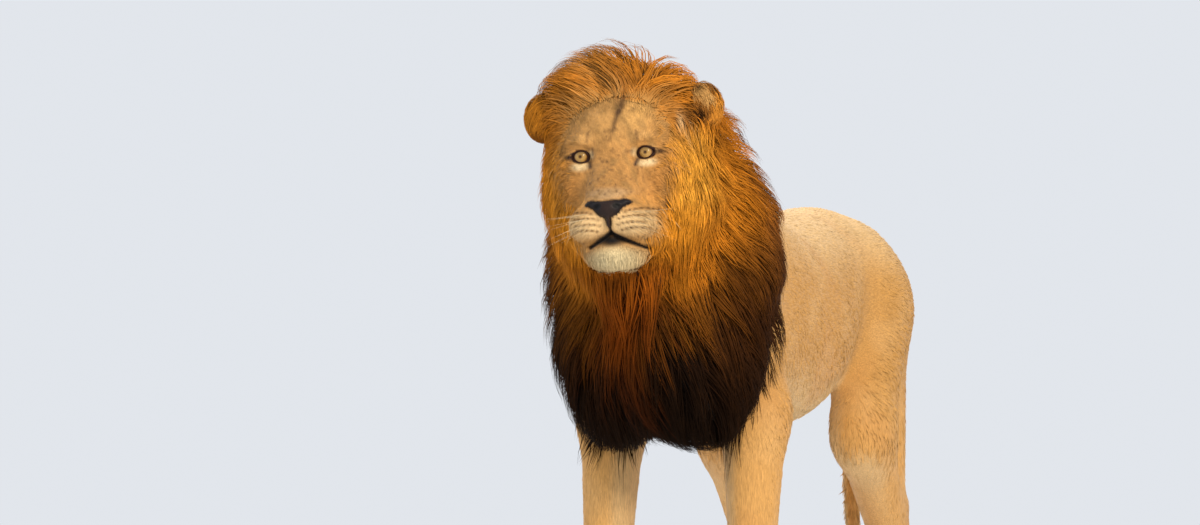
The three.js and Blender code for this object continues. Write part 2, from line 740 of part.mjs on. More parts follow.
/** The bare nose with a flat back, grown by `by`. */
function makeNose(by = 0) {
  const grid = [mirrored([57, 8.6]), marks(-162, [-80, 9.6]), marks(-147, [-76, 8.2])];
  const whole = surfaceOf(fieldOf(noseMasses()), grid, headFrame);
  return sideOf(solidOf(swollen(whole, by)), inBody({ point: [0, -101, 0], normal: [0, -1, 0] }), -by);
}

/** The groove between the lips, and the one that runs from it up to the nose. */
function mouthLine() {
  const line = [-76, -62, -43, -22, 0, 22, 43, 62, 76].map((x) => {
    const z = -153 - 36 * Math.min(1, Math.abs(x) / 62) ** 0.8;
    return faceAt(x, z, 1);
  });
  const lips = tube(line, [2, 4.5, 5, 5, 4.5, 5, 5, 4.5, 2], 5, 14);
  const cleft = tube([faceAt(0, -132, 1), faceAt(0, -144, 1), faceAt(0, -156, 1)], [3, 3, 3], 4, 2);
  return solidOf(lips).add(solidOf(cleft));
}

/** An eye with the lids round it: the mound of the lids, the ball, and the slit that opens on it. */
function makeEye(s) {
  const at = [s * EYE_SPREAD, -6, 0];
  const round = [EYE_RADIUS, EYE_RADIUS, EYE_RADIUS];
  return {
    eye: smallBall(at, round, [11, 8]),
    lids: smallBall([s * 67, -3, 0], [28, 27, 22], [12, 8], [0, s * 0.2, s * 0.25]),
    slit: smallBall([s * 68, -28, -1], [20, 20, 12], [10, 8], [0, s * 0.12, s * 0.5]),
  };
}

/** The head with its nose, eyes and ears, all put into `nodes`; returns the room it takes from the neck. */
function makeHead(nodes, flesh) {
  const whole = surfaceOf(skin, headGrid, headFrame);
  const grownHead = sideOf(solidOf(swollen(whole)), headCut, -GAP / 2);
  const underEars = solidOf(swollen(whole)).add(solidOf(swollen(flesh)));
  let face = solidOf(whole);
  nodes.nose = makeNose();
  face = face.subtract(makeNose(SWELL)).subtract(mouthLine());
  for (const [name, s] of Object.entries({ left: 1, right: -1 })) {
    const { eye, lids, slit } = makeEye(s);
    nodes[`eye_${name}`] = solidOf(eye);
    face = face.add(solidOf(lids)).subtract(solidOf(swollen(eye))).subtract(solidOf(slit));
    const cup = solidOf(earShell(s, EAR.outer)).subtract(solidOf(earShell(s, EAR.inner, EAR.depth)));
    nodes[`ear_${name}`] = largest(cup.subtract(underEars));
  }
  face = wasm.Manifold.union([face, ...beardLocks().map(solidOf)]);
  nodes.head = largest(sideOf(face, headCut));
  return grownHead;
}

const neckGrid = [mirrored([310, 62]), marks(-1090, [-260, 64]), marks(500, [1420, 64])];

/** The neck with its mane, whose hair leaves room for the ears. */
function makeNeck(skinOfNeck, others) {
  const flesh = sideOf(sideOf(solidOf(skinOfNeck), otherSide(headCut)), NECK_CUT);
  const core = surfaceOf(maneCore, neckGrid);
  const hair = wasm.Manifold.union([solidOf(core), ...maneLocks(core).map(solidOf)]);
  const ears = [1, -1].map((s) => solidOf(swollen(earShell(s, EAR.outer, 0, [8, 6]), EAR.room)));
  const combed = ears.reduce((rest, ear) => rest.subtract(ear), hair);
  return others.reduce((neck, other) => neck.subtract(other), flesh.add(combed));
}

function makeTail(grownTorso) {
  const whole = solidOf(tube(TAIL_LINE, TAIL_RADII, 8, 17)).subtract(grownTorso);
  const core = tube(TUFT.line, TUFT.core, 6, 5);
  const tuft = wasm.Manifold.union([core, ...tuftLocks()].map(solidOf));
  return {
    tail: sideOf(whole, TAIL_SPLIT),
    tail_tuft: largest(sideOf(whole.add(tuft), otherSide(TAIL_SPLIT))),
  };
}

// ---------------------------------------------------------------- the model

function makeNodes() {
  const nodes = {};
  const skinOfNeck = surfaceOf(skin, neckGrid);
  const grownHead = makeHead(nodes, skinOfNeck);
  const torso = makeTorso();
  const grownTorso = sideOf(solidOf(swollen(torso)), otherSide(NECK_CUT), -GAP / 2);
  nodes.torso = sideOf(solidOf(torso), otherSide(NECK_CUT));
  const legs = [];
  for (const [name, { side, stride }] of Object.entries(LEGS)) {
    const [kind, hand] = name.split("_");
    const leg = makeLeg(kind === "fore", side, stride);
    legs.push(solidOf(swollen(leg)));
    const aboveFoot = { point: [0, 0, PAW_CUT], normal: [0, 0, 1] };
    nodes[`${kind}leg_${hand}`] = largest(sideOf(solidOf(leg), aboveFoot).subtract(grownTorso));
    nodes[`paw_${name}`] = largest(sideOf(makePaw(kind === "fore", side, stride), otherSide(aboveFoot)));
  }
  nodes.neck = largest(makeNeck(skinOfNeck, [grownHead, grownTorso, ...legs]));
  return { ...nodes, ...makeTail(grownTorso) };
}

const FINISHES = {
  coat: { color: 0xb98a52, roughness: 0.85 },
  mane: { color: 0x6b3d1c, roughness: 0.8 },
  nose: { color: 0x2b1c19, roughness: 0.45 },
  eye: { color: 0xb98a3a, roughness: 0.15 },
};

/** The finish of a node by its name. */
function finishOf(name) {
  if (name.startsWith("eye")) return "eye";
  if (name === "nose") return "nose";
  return name === "neck" || name === "tail_tuft" ? "mane" : "coat";
}

const lion = new THREE.Group();
lion.position.set(0, ORIGIN_Y, 0);
for (const [name, solid] of Object.entries(makeNodes())) {
  const mesh = new THREE.Mesh(geometryOf(solid), new THREE.MeshStandardMaterial(FINISHES[finishOf(name)]));
  mesh.name = name;
  lion.add(mesh);
}

export default lion;
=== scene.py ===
"""A male lion, life size, as a still museum model: its skin, coat, mane, eyes, nose and whiskers.

The body is worked out in millimetres in the body's own frame: the spine along Y, the nose towards -Y, the lion's
left side at +X and the floor at z = 0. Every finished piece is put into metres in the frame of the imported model.
"""

from __future__ import annotations

import logging
import math
from collections.abc import Callable
from dataclasses import dataclass
from enum import Enum
from functools import cached_property

import bmesh
import bpy
import numpy as np
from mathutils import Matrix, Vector


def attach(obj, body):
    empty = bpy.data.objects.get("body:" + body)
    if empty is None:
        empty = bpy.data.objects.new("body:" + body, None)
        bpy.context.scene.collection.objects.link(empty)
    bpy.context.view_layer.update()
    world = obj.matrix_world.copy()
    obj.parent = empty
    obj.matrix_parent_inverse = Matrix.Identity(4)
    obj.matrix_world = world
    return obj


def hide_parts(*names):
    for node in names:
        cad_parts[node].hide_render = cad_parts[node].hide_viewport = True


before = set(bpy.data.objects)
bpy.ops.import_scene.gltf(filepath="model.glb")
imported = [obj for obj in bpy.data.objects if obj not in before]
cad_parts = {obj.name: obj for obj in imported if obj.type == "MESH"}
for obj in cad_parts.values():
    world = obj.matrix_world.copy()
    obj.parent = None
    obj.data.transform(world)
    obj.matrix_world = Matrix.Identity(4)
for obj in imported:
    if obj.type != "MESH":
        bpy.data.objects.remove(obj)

Array = np.ndarray
Point = tuple[float, float, float]
Flat = tuple[float, float]
Line = tuple[Flat, ...]
Sample = Callable[["Field"], Array]
Piece, Material = bpy.types.Object, bpy.types.Material
Tree, Node, Socket = bpy.types.NodeTree, bpy.types.Node, bpy.types.NodeSocket

log = logging.getLogger("lion")
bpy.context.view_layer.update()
BODY_NODE = "root"
ORIGIN_Y = 133.0  # from the body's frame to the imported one, along the spine
FACE_Y = -860.0  # in front of it, the skin has the head's short fur and folds
MANE_Y = -200.0  # the mane doesn't grow behind it
TAIL_Y = 712.0  # behind it there is only the tail
EYE_X = 67.0  # from the middle of the face to the middle of each eye's opening


# ---- frames and small sums


def in_metres(points: Array) -> Array:
    """Points of the body's frame, in millimetres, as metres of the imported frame."""
    return (points + np.array([0.0, ORIGIN_Y, 0.0])) / 1000.0


def turned(x: float = 0.0, y: float = 0.0, z: float = 0.0, order: str = "xyz") -> Array:
    """The matrix of three turns in degrees, multiplied in `order`.

    Args:
        x: turn about X.
        y: turn about Y.
        z: turn about Z.
        order: the order of the factors, left to right.

    Returns:
        A 3 x 3 matrix.
    """
    (cx, sx), (cy, sy), (cz, sz) = ((math.cos(math.radians(a)), math.sin(math.radians(a))) for a in (x, y, z))
    parts = {
        "x": np.array([[1, 0, 0], [0, cx, -sx], [0, sx, cx]]),
        "y": np.array([[cy, 0, sy], [0, 1, 0], [-sy, 0, cy]]),
        "z": np.array([[cz, -sz, 0], [sz, cz, 0], [0, 0, 1]]),
    }
    return parts[order[0]] @ parts[order[1]] @ parts[order[2]]


def smooth(values: Array, start: float, end: float) -> Array:
    """A soft step from 0 at `start` to 1 at `end`, which may be the lower of the two."""
    t = np.clip((values - start) / (end - start), 0.0, 1.0)
    return t * t * (3 - 2 * t)


def unit(vectors: Array) -> Array:
    """The same directions with length 1."""
    return vectors / np.maximum(np.linalg.norm(vectors, axis=-1, keepdims=True), 1e-9)


def along(ways: Array, outs: Array) -> Array:
    """The part of each way that runs along the surface whose way out is given, with length 1."""
    return unit(ways - outs * np.sum(ways * outs, axis=-1, keepdims=True))


def ripple(points: Array, size: float, seed: int) -> Array:
    """A slow pattern over space, from about -1 to 1.

    Args:
        points: the places, one a row.
        size: millimetres from one crest to the next.
        seed: which pattern.

    Returns:
        One value for each point.
    """
    draw = np.random.default_rng(seed)
    total = np.zeros(len(points))
    for _ in range(5):
        wave = unit(draw.normal(size=3)) * (2 * math.pi / size) * draw.uniform(0.6, 1.6)
        total += np.sin(points @ wave + draw.uniform(0, 2 * math.pi))
    return total / 2.6


def linear(code: str) -> Array:
    """An sRGB hex colour as linear red, green and blue."""
    channels = np.array([int(code[i : i + 2], 16) for i in (1, 3, 5)]) / 255
    return np.where(channels <= 0.04045, channels / 12.92, ((channels + 0.055) / 1.055) ** 2.4)


def side_name(side: int) -> str:
    """What the lion's own side is called: 1 is its left, -1 its right."""
    return "left" if side > 0 else "right"


def lay(under: Array, over: Array | Point, weight: Array) -> None:
    """Blends colours or directions into those that are there, as far as the weight of each row says."""
    under += weight[:, None] * (over - under)


@dataclass(frozen=True)
class Place:
    """A turned and moved frame, such as the head's."""

    turn: Array
    move: Array

    def into(self, points: Array) -> Array:
        """Points of the body's frame, as points of this one."""
        return (points - self.move) @ self.turn

    def out_of(self, points: Array) -> Array:
        """Points of this frame, as points of the body's."""
        return points @ self.turn.T + self.move


BODY = Place(np.eye(3), np.zeros(3))
HEAD = Place(turned(z=7) @ turned(y=-4), np.array([10.0, -968.0, 1161.0]))  # the origin between the eyes


# ---- fields of blended masses


@dataclass(frozen=True)
class Ball:
    """An ellipsoid of flesh or hair; `blend` is how softly it joins those before it, `tilt` is in degrees."""

    centre: Point
    radii: Point
    blend: float = 40.0
    tilt: Point = (0.0, 0.0, 0.0)
    carve: bool = False
    place: Place = BODY
    order: str = "xyz"

    @cached_property
    def _inward(self) -> tuple[list[list[float]], list[float]]:
        """The turn into the ball's own axes, row by row, and its middle along them."""
        turn = self.place.turn @ turned(*self.tilt, order=self.order)
        return turn.T.tolist(), (turn.T @ self.place.out_of(np.array(self.centre))).tolist()

    @property
    def reach(self) -> tuple[Array, Array]:
        """The lowest and highest corner of a box that holds it."""
        middle = self.place.out_of(np.array(self.centre))
        return middle - max(self.radii), middle + max(self.radii)

    def distance(self, x: Array, y: Array, z: Array) -> Array:
        """About how far each place is outside its surface."""
        rows, offset = self._inward
        local = [r[0] * x + r[1] * y + r[2] * z - o for r, o in zip(rows, offset)]
        near = sum((p / r) ** 2 for p, r in zip(local, self.radii))
        slope = sum((p / (r * r)) ** 2 for p, r in zip(local, self.radii))
        near = np.sqrt(near) + 1e-4
        return near * (near - 1) / (np.sqrt(slope) + 1e-6)


@dataclass(frozen=True)
class Limb:
    """A tapered limb from a to b; `flat` narrows it across the body."""

    a: Point
    b: Point
    radius_a: float
    radius_b: float
    blend: float = 30.0
    flat: float = 1.0
    place: Place = BODY
    carve: bool = False

    @property
    def reach(self) -> tuple[Array, Array]:
        """The lowest and highest corner of a box that holds it."""
        ends = self.place.out_of(np.array([self.a, self.b]))
        widest = max(self.radius_a, self.radius_b)
        return ends.min(0) - widest, ends.max(0) + widest

    def distance(self, x: Array, y: Array, z: Array) -> Array:
        """About how far each place is outside its surface."""
        rows, offset = self.place.turn.T.tolist(), (self.place.turn.T @ self.place.move).tolist()
        local = [r[0] * x + r[1] * y + r[2] * z - o - a for r, o, a in zip(rows, offset, self.a)]
        run = [b - a for a, b in zip(self.a, self.b)]
        t = np.clip(sum(p * d for p, d in zip(local, run)) / sum(d * d for d in run), 0, 1)
        px, py, pz = (p - t * d for p, d in zip(local, run))
        off = np.sqrt((px / self.flat) ** 2 + py**2 + pz**2)
        return (off - (self.radius_a + t * (self.radius_b - self.radius_a))) * self.flat


def joined(d: Array, other: Array, blend: float) -> Array:
    """The soft union of two distance fields."""
    h = np.maximum(blend - np.abs(d - other), 0) / blend
    return np.minimum(d, other) - h * h * (blend / 4)


def carved(d: Array, other: Array, blend: float) -> Array:
    """The field d with the other one softly cut out of it."""
    return -joined(-d, other, blend)


@dataclass(frozen=True)
class Field:
    """One distance field from a row of masses, each blended with, or carved from, those before it."""

    masses: tuple[Ball | Limb, ...]
    FAR = 1000.0
    MARGIN = 130.0  # past which a mass is no longer looked at on a grid

    def at(self, points: Array) -> Array:
        """The field at points, one a row."""
        x, y, z = points.T
        d = np.full(len(points), self.FAR)
        for mass in self.masses:
            d = (carved if mass.carve else joined)(d, mass.distance(x, y, z), mass.blend)
        return d

    def on_grid(self, lines: list[Array]) -> Array:
        """The field on a grid of lines along X, Y and Z."""
        out = np.full([len(line) for line in lines], self.FAR, np.float32)
        for mass in self.masses:
            low, high = mass.reach
            spans = [
                slice(*np.searchsorted(line, (a - self.MARGIN, b + self.MARGIN)))
                for line, a, b in zip(lines, low, high)
            ]
            if any(span.start >= span.stop for span in spans):
                continue
            x, y, z = np.ix_(*(line[span] for line, span in zip(lines, spans)))
            box = tuple(spans)
            out[box] = (carved if mass.carve else joined)(out[box], mass.distance(x, y, z), mass.blend)
        return out


def slope_of(distance: Callable[[Array], Array], points: Array, value: Array, step: float = 0.5) -> Array:
    """How a field rises at points where its value is known."""
    return np.stack([(distance(points + step * axis) - value) / step for axis in np.eye(3)], axis=1)


def settled(distance: Callable[[Array], Array], points: Array, rounds: int = 2) -> tuple[Array, Array]:
    """The nearest points where a field is zero, and the way out of it there.

    Args:
        distance: the field.
        points: where to start, one a row.
        rounds: how many steps to take.

    Returns:
        The points and their outward directions.
    """
    at = points
    slope = np.zeros_like(points)
    for _ in range(rounds):
        value = distance(at)
        slope = slope_of(distance, at, value)
        move = slope * (-value / np.maximum(np.sum(slope**2, axis=1), 0.1))[:, None]
        at = at + np.clip(move, -25, 25)
    return at, unit(slope)


# ---- the lion's masses


def both(make: Callable[[int], Ball | Limb]) -> list[Ball | Limb]:
    """The same mass on the left side and on the right."""
    return [make(1), make(-1)]


def in_head(centre: Point, radii: Point, **options) -> Ball:
    """A ball of the head's frame."""
    return Ball(centre, radii, place=HEAD, **options)


def limb_in_head(a: Point, b: Point, radius_a: float, radius_b: float, **options) -> Limb:
    """A limb of the head's frame."""
    return Limb(a, b, radius_a, radius_b, place=HEAD, **options)


@dataclass(frozen=True)
class Leg:
    """One leg with its paw."""

    fore: bool
    side: int
    stride: float  # how far the foot stands behind its mean place
    SHOULDER_Y = -440.0
    HIP_Y = 470.0

    @property
    def paw_at(self) -> Flat:
        """The middle of the paw's pad on the floor."""
        if self.fore:
            return self.side * 152, self.SHOULDER_Y - 96 + self.stride
        return self.side * 143, self.HIP_Y + 62 + self.stride

    def bones(self) -> list[Point]:
        """The joints from the ground up, which the flesh lies round."""
        s, stride = self.side, self.stride
        if self.fore:
            y = self.SHOULDER_Y
            return [
                (s * 150, y - 62 + stride, 78),
                (s * 148, y - 42 + stride * 0.7, 262),
                (s * 150, y - 12, 640),
                (s * 130, y - 72, 800),
                (s * 92, y + 8, 985),
            ]
        y = self.HIP_Y
        return [
            (s * 142, y + 92 + stride, 78),
            (s * 138, y + 150 + stride, 300),
            (s * 144, y - 98 + stride * 0.3, 592),
            (s * 116, y + 34, 850),
        ]

    def masses(self) -> list[Ball | Limb]:
        """The flesh of the leg, without the paw."""
        s = self.side
        if self.fore:
            foot, wrist, elbow, shoulder, blade = self.bones()
            return [
                Limb(blade, shoulder, 70, 106, 50, 0.8),
                Limb(shoulder, elbow, 106, 88, 50, 0.8),
                Limb(elbow, wrist, 82, 53, 40, 0.84),
                Ball((s * 150, self.SHOULDER_Y + 50, 655), (36, 40, 46)),
                Limb(wrist, foot, 52, 50, 24, 0.96),
                Ball((s * 150, wrist[1] + 26, 240), (20, 24, 22), 24),
            ]
        foot, hock, knee, hip = self.bones()
        return [
            Limb(hip, knee, 128, 84, 60, 0.74),
            Limb((s * 112, 590, 830), (s * 136, hock[1] - 52, 452), 90, 52, 60, 0.72),
            Limb(knee, hock, 80, 42, 44, 0.8),
            Limb((s * 136, hock[1] - 16, 430), (s * 138, hock[1] + 28, 318), 30, 30, 34),
            Limb(hock, foot, 43, 43, 28, 0.94),
        ]

    def paw(self) -> list[Ball | Limb]:
        """The pad and four toes, spread in front of it."""
        size = 1.12 if self.fore else 1.01
        x, y = self.paw_at
        masses = [Ball((x, y, 34), (52 * size, 62 * size, 44), 26)]
        for step in (-1.5, -0.5, 0.5, 1.5):
            at = (x + step * 27 * size, y - (52 - 10 * step * step) * size, 27)
            masses.append(Ball(at, (17.5 * size, 38 * size, 28), 5, (12, 0, -step * 7)))
        return masses


LEGS = [Leg(True, 1, 18), Leg(True, -1, -46), Leg(False, 1, 34), Leg(False, -1, -52)]


@dataclass(frozen=True)
class Ear:
    """A rounded cup that opens forwards and outwards, in the head's frame."""

    side: int
    at: Point = (159.0, 127.0, 87.0)
    outer: Point = (46.0, 29.0, 49.0)
    inner: Point = (37.0, 24.0, 41.0)
    forward: float = 24.0  # from the middle of the outer form to the middle of the hollow
    tilt: Point = (-8.6, 28.6, 31.5)

    def _ball(self, radii: Point, forward: float, carve: bool) -> Ball:
        """The outer form or the hollow."""
        x, y, z = self.at
        tip, lean, swing = self.tilt
        return in_head(
            (self.side * x, y - forward, z),
            radii,
            blend=5.0,
            tilt=(tip, self.side * lean, self.side * swing),
            carve=carve,
            order="zyx",
        )

    @property
    def opening(self) -> Array:
        """The way that the cup opens."""
        tip, lean, swing = self.tilt
        return HEAD.turn @ turned(tip, self.side * lean, self.side * swing, order="zyx") @ np.array([0.0, -1.0, 0.0])

    def field(self) -> Field:
        """The cup as a field."""
        return Field((self._ball(self.outer, 0, False), self._ball(self.inner, self.forward, True)))

    def hollow(self, points: Array) -> Array:
        """How far each place is outside the hollow of the cup."""
        return self._ball(self.inner, self.forward, False).distance(*points.T)


@dataclass(frozen=True)
class Crease:
    """A fold or a stripe that runs over the face, its points given as x, z of the head's frame."""

    points: Line
    width: float
    depth: float = 0.0  # of a fold
    colour: Array | None = None  # of a stripe
    strength: float = 1.0
    edge: float = 2.0  # how sharply it ends

    def distance(self, x: Array, z: Array) -> Array:
        """How far each place is from the line, seen from the front of the head."""
        nearest = np.full(np.broadcast(x, z).shape, 1e3)
        for (ax, az), (bx, bz) in zip(self.points, self.points[1:]):
            dx, dz = bx - ax, bz - az
            t = np.clip(((x - ax) * dx + (z - az) * dz) / (dx * dx + dz * dz), 0, 1)
            nearest = np.minimum(nearest, np.hypot(x - ax - t * dx, z - az - t * dz))
        return nearest

    def weight(self, x: Array, z: Array) -> Array:
        """1 on the line and nothing well past its width."""
        return self.strength * np.exp(-((self.distance(x, z) / self.width) ** self.edge))


def mirrored(points: Line, *options, **more) -> list[Crease]:
    """The same crease on both sides of the face."""
    return [Crease(tuple((s * x, z) for x, z in points), *options, **more) for s in (1, -1)]


FACE_HALVES = (  # at each height of the head's frame, how far the short fur of the face reaches to each side
    (-235, 58), (-190, 64), (-147, 74), (-120, 86), (-94, 99), (-43, 111),
    (19, 108), (60, 96), (96, 70), (112, 38), (122, 0),
)  # fmt: skip


def past_face(points: Array) -> Array:
    """How far outside the short fur of the face places are, in millimetres, negative on the face itself."""
    x, y, z = HEAD.into(points).T
    heights, halves = np.array(FACE_HALVES).T
    edge = np.maximum(np.abs(x) - np.interp(z, heights, halves), z - 122)
    edge = np.maximum(edge, np.maximum(y - 75, -3 * (z + 210)))
    return edge + 5 * ripple(points, 30, 77)


def mouth_height(x: Array) -> Array:
    """How high the mouth's line is at a distance from the middle of the face."""
    return -156 - 34 * np.minimum(1.0, np.abs(x) / 62) ** 0.8


MOUTH_LINE = tuple((float(x), float(mouth_height(x))) for x in range(-48, 85, 12))
CLEFT_LINE = ((0.0, -130.0), (0.0, -158.0))


@dataclass(frozen=True)
class Anatomy:
    """The lion's body as fields."""

    coat_depth: float = 3.5  # from the tips of the short coat to the skin
    face_depth: float = 1.5
    core_depth: float = 6.0  # from the core that the mane stands on to the skin
    creases: tuple[Crease, ...] = (
        Crease(MOUTH_LINE, 5.0, 8.0),
        Crease(CLEFT_LINE, 3.0, 5.0),
        *mirrored(((64, -86), (80, -118), (92, -158)), 7.0, 3.0),
        *mirrored(((48, -6), (42, -24), (40, -52)), 5.0, 2.2),
        *mirrored(((86, 4), (98, 6)), 3.0, 1.5),
        *mirrored(((40, 22), (50, 40)), 5.0, 2.0),
    )

    @cached_property
    def trunk(self) -> list[Ball | Limb]:
        """Chest, belly, loin, shoulders, haunches and the root of the tail."""
        return [
            Ball((0, -300, 858), (196, 350, 250), 60),
            Ball((0, 60, 824), (192, 400, 226), 90),
            Ball((0, 350, 895), (150, 290, 158), 80),
            Ball((0, 490, 905), (152, 205, 152), 70),
            Ball((0, -560, 775), (150, 165, 160), 70),
            *both(lambda s: Limb((s * 62, -420, 1035), (s * 112, -545, 800), 72, 86, 50)),
            *both(lambda s: Ball((s * 88, 515, 865), (88, 150, 160))),
            *both(lambda s: Ball((s * 66, 600, 885), (70, 92, 98))),
            Limb((0, 610, 950), (0, 690, 920), 62, 38),
        ]

    @cached_property
    def neck(self) -> list[Ball | Limb]:
        """The neck and the throat."""
        return [
            Limb((0, -500, 930), (6, -800, 1120), 190, 138, 80),
            Limb((0, -560, 790), (6, -830, 1010), 130, 95, 70),
        ]

    @cached_property
    def head(self) -> list[Ball | Limb]:
        """Skull, cheeks, muzzle and chin."""
        return [
            in_head((0, 94, 8), (112, 122, 96), blend=50),
            in_head((0, 32, 38), (86, 54, 60), blend=50),
            *both(lambda s: in_head((s * 80, 60, -52), (52, 84, 84), blend=44)),
            *both(lambda s: limb_in_head((s * 64, -4, -36), (s * 110, 72, -22), 22, 34)),
            *both(lambda s: in_head((s * 60, 2, 28), (36, 30, 15), blend=20, tilt=(0, s * 12, s * 24))),
            *both(lambda s: limb_in_head((s * 70, 105, 55), (s * 112, 118, 68), 42, 28)),
            limb_in_head((0, 6, -4), (0, -98, -104), 40, 36),
            *both(lambda s: limb_in_head((s * 22, 2, -8), (s * 22, -94, -98), 25, 24, blend=16)),
            limb_in_head((0, 40, -110), (0, -52, -130), 90, 64, blend=40),
            *both(lambda s: in_head((s * 39, -82, -134), (47, 50, 40), blend=16, tilt=(6, 0, s * 10))),
            in_head((0, -66, -192), (54, 45, 35), blend=18),
            *both(lambda s: limb_in_head((s * 32, -40, -184), (s * 80, 66, -118), 38, 58)),
            *both(lambda s: in_head((s * 69, -30, 0), (25, 22, 18), blend=14, carve=True)),
        ]

    @cached_property
    def flesh(self) -> Field:
        """Trunk, neck and head."""
        return Field((*self.trunk, *self.neck, *self.head))

    @cached_property
    def legs(self) -> Field:
        """The four legs without their paws."""
        return Field(tuple(mass for leg in LEGS for mass in leg.masses()))

    @cached_property
    def paws(self) -> Field:
        """The four paws."""
        return Field(tuple(mass for leg in LEGS for mass in leg.paw()))

    @cached_property
    def tail(self) -> Field:
        """The tail down into its tuft."""
        stops = [(*place, radius) for place, radius in zip(TailTuft.TAIL_LINE, TailTuft.TAIL_RADII)]
        smoothed = smooth_line(stops, 19)
        line, radii = [stop[:3] for stop in smoothed], [stop[3] for stop in smoothed]
        return Field(tuple(Limb(a, b, ra, rb, 4) for a, b, ra, rb in zip(line, line[1:], radii, radii[1:])))

    @cached_property
    def lids(self) -> Field:
        """The mounds of the eyelids."""
        mounds = both(lambda s: in_head((s * EYE_X, -3, 0), (28, 27, 22), blend=10, tilt=(0, s * 11, s * 14)))
        return Field(tuple(mounds))

    @cached_property
    def slits(self) -> Field:
        """The openings between the lids."""
        openings = both(lambda s: in_head((s * EYE_X, -30, -1), (20, 22, 13), blend=4, tilt=(0, s * 7, s * 28)))
        return Field(tuple(openings))

    @cached_property
    def tips(self) -> Field:
        """What the tips of the mane's hair reach."""
        masses = (
            Ball((0, -600, 930), (252, 262, 286), 60),
            Ball((6, -660, 762), (218, 210, 188), 80),
            Ball((118, -622, 700), (104, 118, 148), 70),
            Ball((-104, -628, 700), (92, 112, 142), 70),
            Ball((0, -700, 1120), (190, 210, 190), 60),
            Ball((5, -880, 960), (125, 105, 150), 60),
            in_head((-5, 130, -70), (188, 125, 198), blend=50),
            in_head((-12, 122, 96), (180, 108, 124), blend=50),
        )
        return Field(masses)

    @cached_property
    def nose(self) -> Field:
        """The bare nose: a broad top that narrows down to the lip, with two comma-shaped nostrils."""
        masses = (
            in_head((0, -117, -103), (37, 22, 12), blend=8),
            *both(lambda s: in_head((s * 36, -110, -97), (12, 13, 4.6), blend=9, tilt=(0, s * 20, 0))),
            in_head((0, -124, -113), (25, 18, 14), blend=9),
            in_head((0, -126, -131), (4.2, 13, 17), blend=7),
            *both(lambda s: in_head((s * 24, -141, -105), (12, 8, 6), blend=4, carve=True, tilt=(0, s * 22, 0))),
        )
        return Field(masses)

    def folds(self, x: Array, y: Array, z: Array) -> Array:
        """How far the creases of the face sink the skin, at places of the head's frame."""
        front = smooth(y, 0.0, -40.0)
        return front * sum(crease.depth * crease.weight(x, z) for crease in self.creases)

    def whole(self, sample: Sample, y: Array, z: Array) -> Array:
        """The whole skin, but for the folds of the face.

        Args:
            sample: gives a field's values at the places.
            y: the places along the spine.
            z: the heights of the places.

        Returns:
            How far each place is outside the skin.
        """
        flesh = sample(self.flesh)
        core = (flesh + sample(self.tips)) / 2
        depth = self.coat_depth + (self.face_depth - self.coat_depth) * smooth(y, FACE_Y, FACE_Y - 70)
        d = carved(joined(flesh, sample(self.lids), 8.0), sample(self.slits), 3.0)
        d = joined(d + depth, sample(self.legs) + depth, 44.0)
        d = joined(d, sample(self.paws) + 1.5, 12.0)
        d = joined(d, sample(self.tail) + 2.0, 26.0)
        d = joined(d, core + self.core_depth, 12.0)
        return np.maximum(d, 1.0 - z)


ANATOMY = Anatomy()


# ---- meshing


@dataclass(frozen=True)
class Shell:
    """Points and four-sided faces of a closed surface."""

    points: Array
    faces: Array

    @cached_property
    def triangles(self) -> Array:
        """Two triangles for each face."""
        return np.concatenate([self.faces[:, [0, 1, 2]], self.faces[:, [0, 2, 3]]])

    @cached_property
    def outs(self) -> Array:
        """The way out of the surface at each point."""
        a, b, c, d = (self.points[self.faces[:, k]] for k in range(4))
        normals = np.cross(c - a, d - b)
        total = np.zeros_like(self.points)
        for k in range(4):
            for axis in range(3):
                total[:, axis] += np.bincount(self.faces[:, k], normals[:, axis], len(self.points))
        return unit(total)


def grid_lines(start: float, *stretches: Flat) -> Array:
    """Grid lines from `start` on, with a step for each stretch: (to, step)."""
    lines = [start]
    for end, step in stretches:
        count = max(1, round((end - lines[-1]) / step))
        lines.extend(np.linspace(lines[-1], end, count + 1)[1:].tolist())
    return np.array(lines)


def both_ways(*stretches: Flat) -> Array:
    """The same grid lines on both sides of zero."""
    half = grid_lines(0.0, *stretches)
    return np.concatenate([-half[:0:-1], half])


